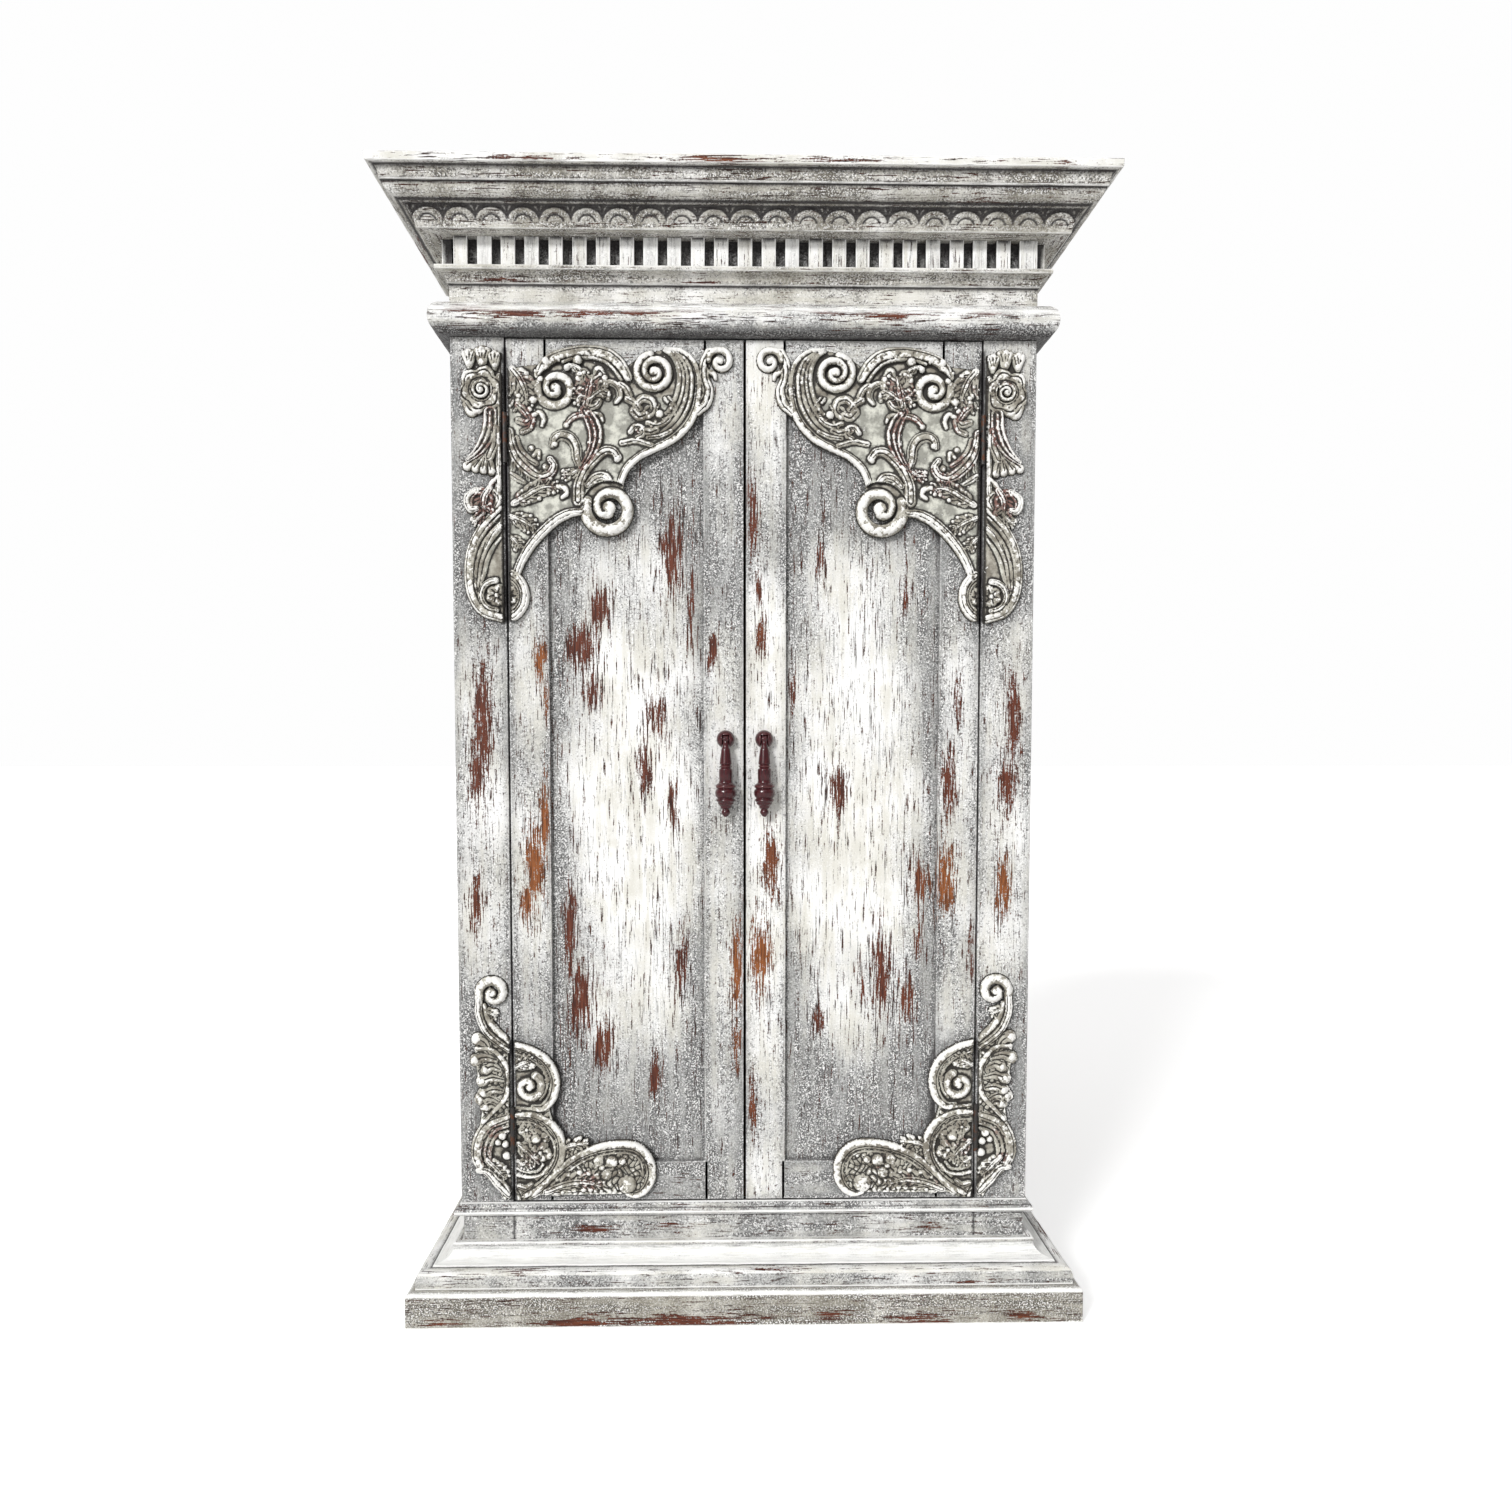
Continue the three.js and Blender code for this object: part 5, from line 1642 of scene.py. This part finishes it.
def door_foot_relief():
    """Two open rings beside the seam, with a flowered band that sweeps along the bottom rail."""
    relief = Relief((SEAM_CLEAR, 214), (272, 520), SEAM_CLEAR)
    relief.plate(DOOR_FOOT_EDGE, 5.5)
    relief.low_soot_and_shade = 0.12
    relief.leafage = 1.0
    relief.sink((32, 432), 44, 3.5)
    relief.sink((20, 298), 62, 3.2)
    relief.stroke([(4, 512), (36, 500), (64, 480), (79, 449), (75, 414), (58, 393), (40, 392)],
                  [9, 11, 12, 12, 12, 11, 8], 13, rimmed)
    relief.stroke([(4, 498), (34, 486), (56, 468), (66, 446), (62, 422), (52, 408)], 4.5, 9)
    relief.volute((32, 432), 29, 60, -1, 1.1, 15, 4, 0.66)
    relief.frill([(62, 470), (70, 446), (62, 420)], -1, 4, 9, 10)
    relief.leaf([(6, 470), (22, 478), (38, 482)], 24, 12, 4, 50)
    relief.bead((38, 474), 7, 12)
    relief.stroke([(8, 392), (36, 389), (66, 388)], 5, 9)
    relief.stroke([(4, 376), (36, 377), (66, 363), (87, 335), (90, 300), (76, 267), (50, 241), (20, 224)],
                  [9, 10, 11, 12, 12, 12, 11, 9], 13.5, rimmed)
    relief.stroke([(6, 365), (34, 364), (58, 351), (76, 328), (79, 300), (66, 274), (44, 254)], 4.5, 9.5)
    relief.stroke([(8, 262), (30, 258), (52, 262), (64, 276)], 5, 10)
    relief.stroke([(8, 275), (26, 268), (46, 270), (56, 282)], 4.5, 8.5)
    relief.beads(14.5, (44, 333, 12), (187, 287, 13))
    relief.beads(12, (22, 314, 9), (67, 300, 8.5))
    relief.beads(15.5, (216, 243, 19))
    relief.beads(14, (162, 288, 12))
    relief.beads(12.5, (176, 264, 13))
    relief.beads(13, (207, 288, 9))
    relief.flower((46, 330), 19, 12.5, 5, 20, 0.3)
    relief.flower((26, 350), 13, 11.5, 5, 50)
    relief.flower((52, 306), 15, 12, 5, 70)
    relief.flower((168, 276), 22, 11.5, 5, 10, 0.2)
    relief.flower((204, 290), 13, 11, 5, 30)
    relief.leaf([(10, 322), (28, 308), (48, 284)], 28, 11, 4, 55, 0.3)
    relief.leaf([(8, 290), (20, 284), (34, 282)], 18, 11, 3, 50)
    relief.stroke([(10, 240), (24, 236), (34, 244)], [7, 9, 6], 11, blade)
    sweep = [(40, 224), (62, 243), (80, 262), (114, 291), (153, 309), (196, 317), (232, 313), (254, 292),
             (261, 263), (251, 236), (234, 224), (218, 226)]
    relief.stroke(sweep, [8, 10, 10, 11, 11, 12, 12, 13, 13, 13, 11, 8], 14, rimmed)
    relief.stroke([(60, 230), (84, 252), (116, 278), (152, 296), (196, 304), (228, 300), (243, 284),
                   (246, 262)], 4.5, 9.5)
    relief.stroke([(205, 236), (212, 246), (222, 246)], 5, 16)
    relief.leaf([(62, 230), (96, 243), (132, 248), (168, 240)], 38, 12.5, 6, 38, 0.25)
    relief.frill([(100, 262), (140, 278), (160, 268)], 1, 3, 9, 10)
    relief.leaf([(92, 312), (112, 320), (142, 322)], 21, 11.5, 3, 45)
    relief.flower((104, 306), 11, 11, 5, 30)
    return relief


def stile_top_relief():
    """Shells, a rose, a twisted leaf drop and half of the great leaf scroll."""
    relief = Relief((-80, 1304), (-SEAM_CLEAR, 1806), -SEAM_CLEAR)
    relief.plate(STILE_TOP_EDGE, 4.0, (1500, 1700))
    for place, width in (((-40, 1790), 22), ((-64, 1786), 17), ((-18, 1784), 15)):
        for k in (-1, 0, 1):
            tip = (place[0] + 7 * k, place[1] + 8 - 3 * abs(k))
            relief.stroke([(place[0], place[1] - 18), tip], [width * 0.34, width * 0.5], [8, 12.5],
                          blade, 0.2)
        relief.bead((place[0], place[1] - 12), width * 0.4, 11)
    # rose: wrapped petals round a swirled heart
    centre = (-43, 1727)
    for k in range(6):
        out, across = toward(15 + 60 * k), toward(105 + 60 * k)
        middle = np.array(centre) + out * 22
        petal = [middle - across * 13, middle + out * 6, middle + across * 13]
        relief.stroke(petal, [12, 19, 12], [10, 12.5, 10], ribbon, 0.15)
    relief.volute(centre, 19, 40, 1, 1.6, 15.5, 4)
    relief.stroke([(-70, 1702), (-60, 1690), (-52, 1702)], [9, 13, 8], 11, blade)
    relief.stroke([(-30, 1692), (-20, 1688), (-14, 1698)], [9, 10, 7], 11, blade)
    # twisted leaf drop ending in a shell
    drop = [(-26, 1686), (-27, 1660), (-36, 1634), (-52, 1613), (-68, 1600)]
    relief.stroke(drop, [18, 20, 19, 14, 7], 13, fluted, 0.45)
    relief.stroke([(-18, 1660), (-20, 1630), (-30, 1606)], [8, 12, 10], 11.5, ribbon)
    for k in range(4):
        tip = (-70 + 15 * k, 1590 - 3 * k)
        relief.stroke([(-34, 1616), tip], [6, 10], [9, 12], blade)
    relief.stroke([(-10, 1752), (-11, 1640), (-13, 1560), (-15, 1515)], 6, 10, ribbon)
    relief.stroke([(-14, 1570), (-26, 1558), (-30, 1548)], [6, 8, 6], 10, rounded, 0.4)
    relief.leaf([(-30, 1548), (-40, 1530), (-40, 1505)], 34, 12.5, 3, 55, 0.6)
    relief.stroke([(-54, 1545), (-68, 1530), (-64, 1512), (-52, 1512)], [8, 11, 10, 6], 13, ribbon)
    relief.stroke([(-20, 1542), (-12, 1530), (-18, 1516)], [8, 10, 8], 12.5, blade)
    relief.leaf([(-40, 1505), (-50, 1494), (-62, 1486)], 18, 11, 3, 50, 0.3)
    # great leaf scroll with flutes running down into it
    outer = [(-12, 1514), (-42, 1482), (-63, 1443), (-70, 1400), (-65, 1356), (-45, 1325), (-10, 1312)]
    inner = [(-10, 1452), (-22, 1436), (-32, 1416), (-38, 1396), (-44, 1372), (-36, 1350), (-14, 1340)]
    relief.stroke(outer, [7, 9, 10, 10, 10, 10, 9], 13.5, rimmed)
    for k, share in enumerate((0.22, 0.44, 0.66, 0.88)):
        flute = between(outer[:6], inner[:6], share)
        relief.stroke(flute, [4, 7, 8, 7, 5], [8, 11.5 - k, 11.5 - k, 10, 8], rounded, 0.15)
    relief.stroke([(-10, 1480), (-24, 1466), (-38, 1440)], [6, 9, 6], 12, blade)
    c_scroll(relief, (-20, 1354), 27, 90, 180, 7, 12.5)
    relief.flower((-18, 1354), 17, 13, 6, 15)
    return relief


def stile_foot_relief():
    """Volute, a fan of leaf lobes and half of the ring that the hinge seam splits."""
    relief = Relief((-80, 214), (-SEAM_CLEAR, 646), -SEAM_CLEAR)
    relief.plate(STILE_FOOT_EDGE, 5.0)
    relief.low_soot_and_shade = 0.10
    relief.leafage = 1.0
    relief.volute((-35, 612), 30, 190, -1, 1.1, 15, 3, 0.72)
    stem = [(-61, 600), (-60, 570), (-48, 540), (-28, 520), (-4, 504)]
    relief.stroke(stem, [8, 9, 9, 9, 8], 12.5, ribbon)
    relief.stroke(between(stem, [(-48, 585), (-40, 562), (-24, 542), (-8, 528), (-4, 520)], 0.75),
                  [6, 9, 10, 9, 7], 12, rounded)
    relief.leaf([(-52, 582), (-42, 574), (-28, 568)], 18, 11, 3, 50)
    spine = [(-66, 506), (-38, 502), (-16, 478), (-9, 442), (-17, 410), (-38, 386), (-56, 366)]
    relief.stroke(spine, [6, 8, 9, 9, 9, 8, 6], 13, rimmed)
    for root, tip, size in (
        ((-40, 500), (-64, 524), 8), ((-30, 484), (-68, 484), 9.5), ((-24, 466), (-50, 466), 8),
        ((-18, 446), (-56, 444), 8), ((-18, 424), (-54, 420), 9), ((-26, 404), (-60, 410), 8),
        ((-30, 392), (-50, 396), 7),
    ):
        middle = ((root[0] + tip[0]) / 2, (root[1] + tip[1]) / 2 + 5)
        relief.stroke([root, middle, tip], [8, 12, 14], [10, 11.5, 13], blade)
        relief.bead(tip, 0.85 * size, 14)
    relief.sink((0, 298), 62, 3.0)
    ring = [(-8, 377), (-46, 362), (-66, 333), (-71, 300), (-62, 277)]
    relief.stroke(ring, [8, 10, 11, 11, 9], 13.5, rimmed)
    for share in (0.3, 0.6, 0.9):
        relief.stroke(between(ring, [(-8, 344), (-26, 338), (-38, 322), (-42, 302), (-38, 286)], share),
                      [4, 6, 7, 6, 4], 10.5 - 2 * share, rounded, 0.3)
    relief.stroke([(-66, 272), (-48, 270), (-30, 250), (-8, 226)], [6, 10, 12, 10], 13, ribbon)
    relief.leaf([(-50, 292), (-34, 276), (-14, 256)], 26, 12, 4, 48)
    relief.beads(13, (-20, 338, 8), (-14, 322, 7), (-28, 326, 6.5), (-12, 300, 8))
    return relief


def carving_shade(x, height):
    """How close the carvings are, from 0 to 1: their surround gets a painted shadow."""
    u = SEAM - np.abs(x)
    near = np.full(len(x), 1e9)
    for edge in (DOOR_TOP_EDGE, DOOR_FOOT_EDGE, STILE_TOP_EDGE, STILE_FOOT_EDGE):
        line, _ = spline(edge, 14)
        for at_u, at_v in line:
            near = np.minimum(near, np.hypot(u - at_u, height - at_v))
    return bell(near, 30)


def build_carvings(finish):
    """Each carving's two halves: one on the door, one on the fixed stile."""
    for kind, part, relief in (
        ("door", "carving_top", door_top_relief()), ("door", "carving_foot", door_foot_relief()),
        ("stile", "carving_top", stile_top_relief()), ("stile", "carving_foot", stile_foot_relief()),
    ):
        for where, side in SIDES.items():
            node = f"{kind}_{part}_{where}"
            body = f"{where}_door" if kind == "door" else "case"
            points, faces, marks = relief.shape(side)
            piece(f"fine_{node}", points, faces, body, finish, [node], marks, 60)


# ---- everything ----
place_camera()
studio()
stage_floor()
paint = {axis: painted_finish(f"painted_wood_{axis}", k) for k, axis in enumerate("xyz")}
for k, axis in enumerate("xy"):
    paint[f"warm_{axis}"] = painted_finish(f"painted_wood_warm_{axis}", k, WARM_WASH)
wood = {"x": wood_finish("bare_wood_x", 0), "z": wood_finish("bare_wood_z", 2)}
turned = turned_finish()
iron = iron_finish()
build_mouldings(paint)
build_dentils(paint)
build_doors(paint)
build_sides(paint, wood)
build_inside(wood)
build_back(wood)
build_lid(paint)
build_rail(wood)
build_pulls(turned)
dress_hinges(iron)
build_carvings(carved_finish())
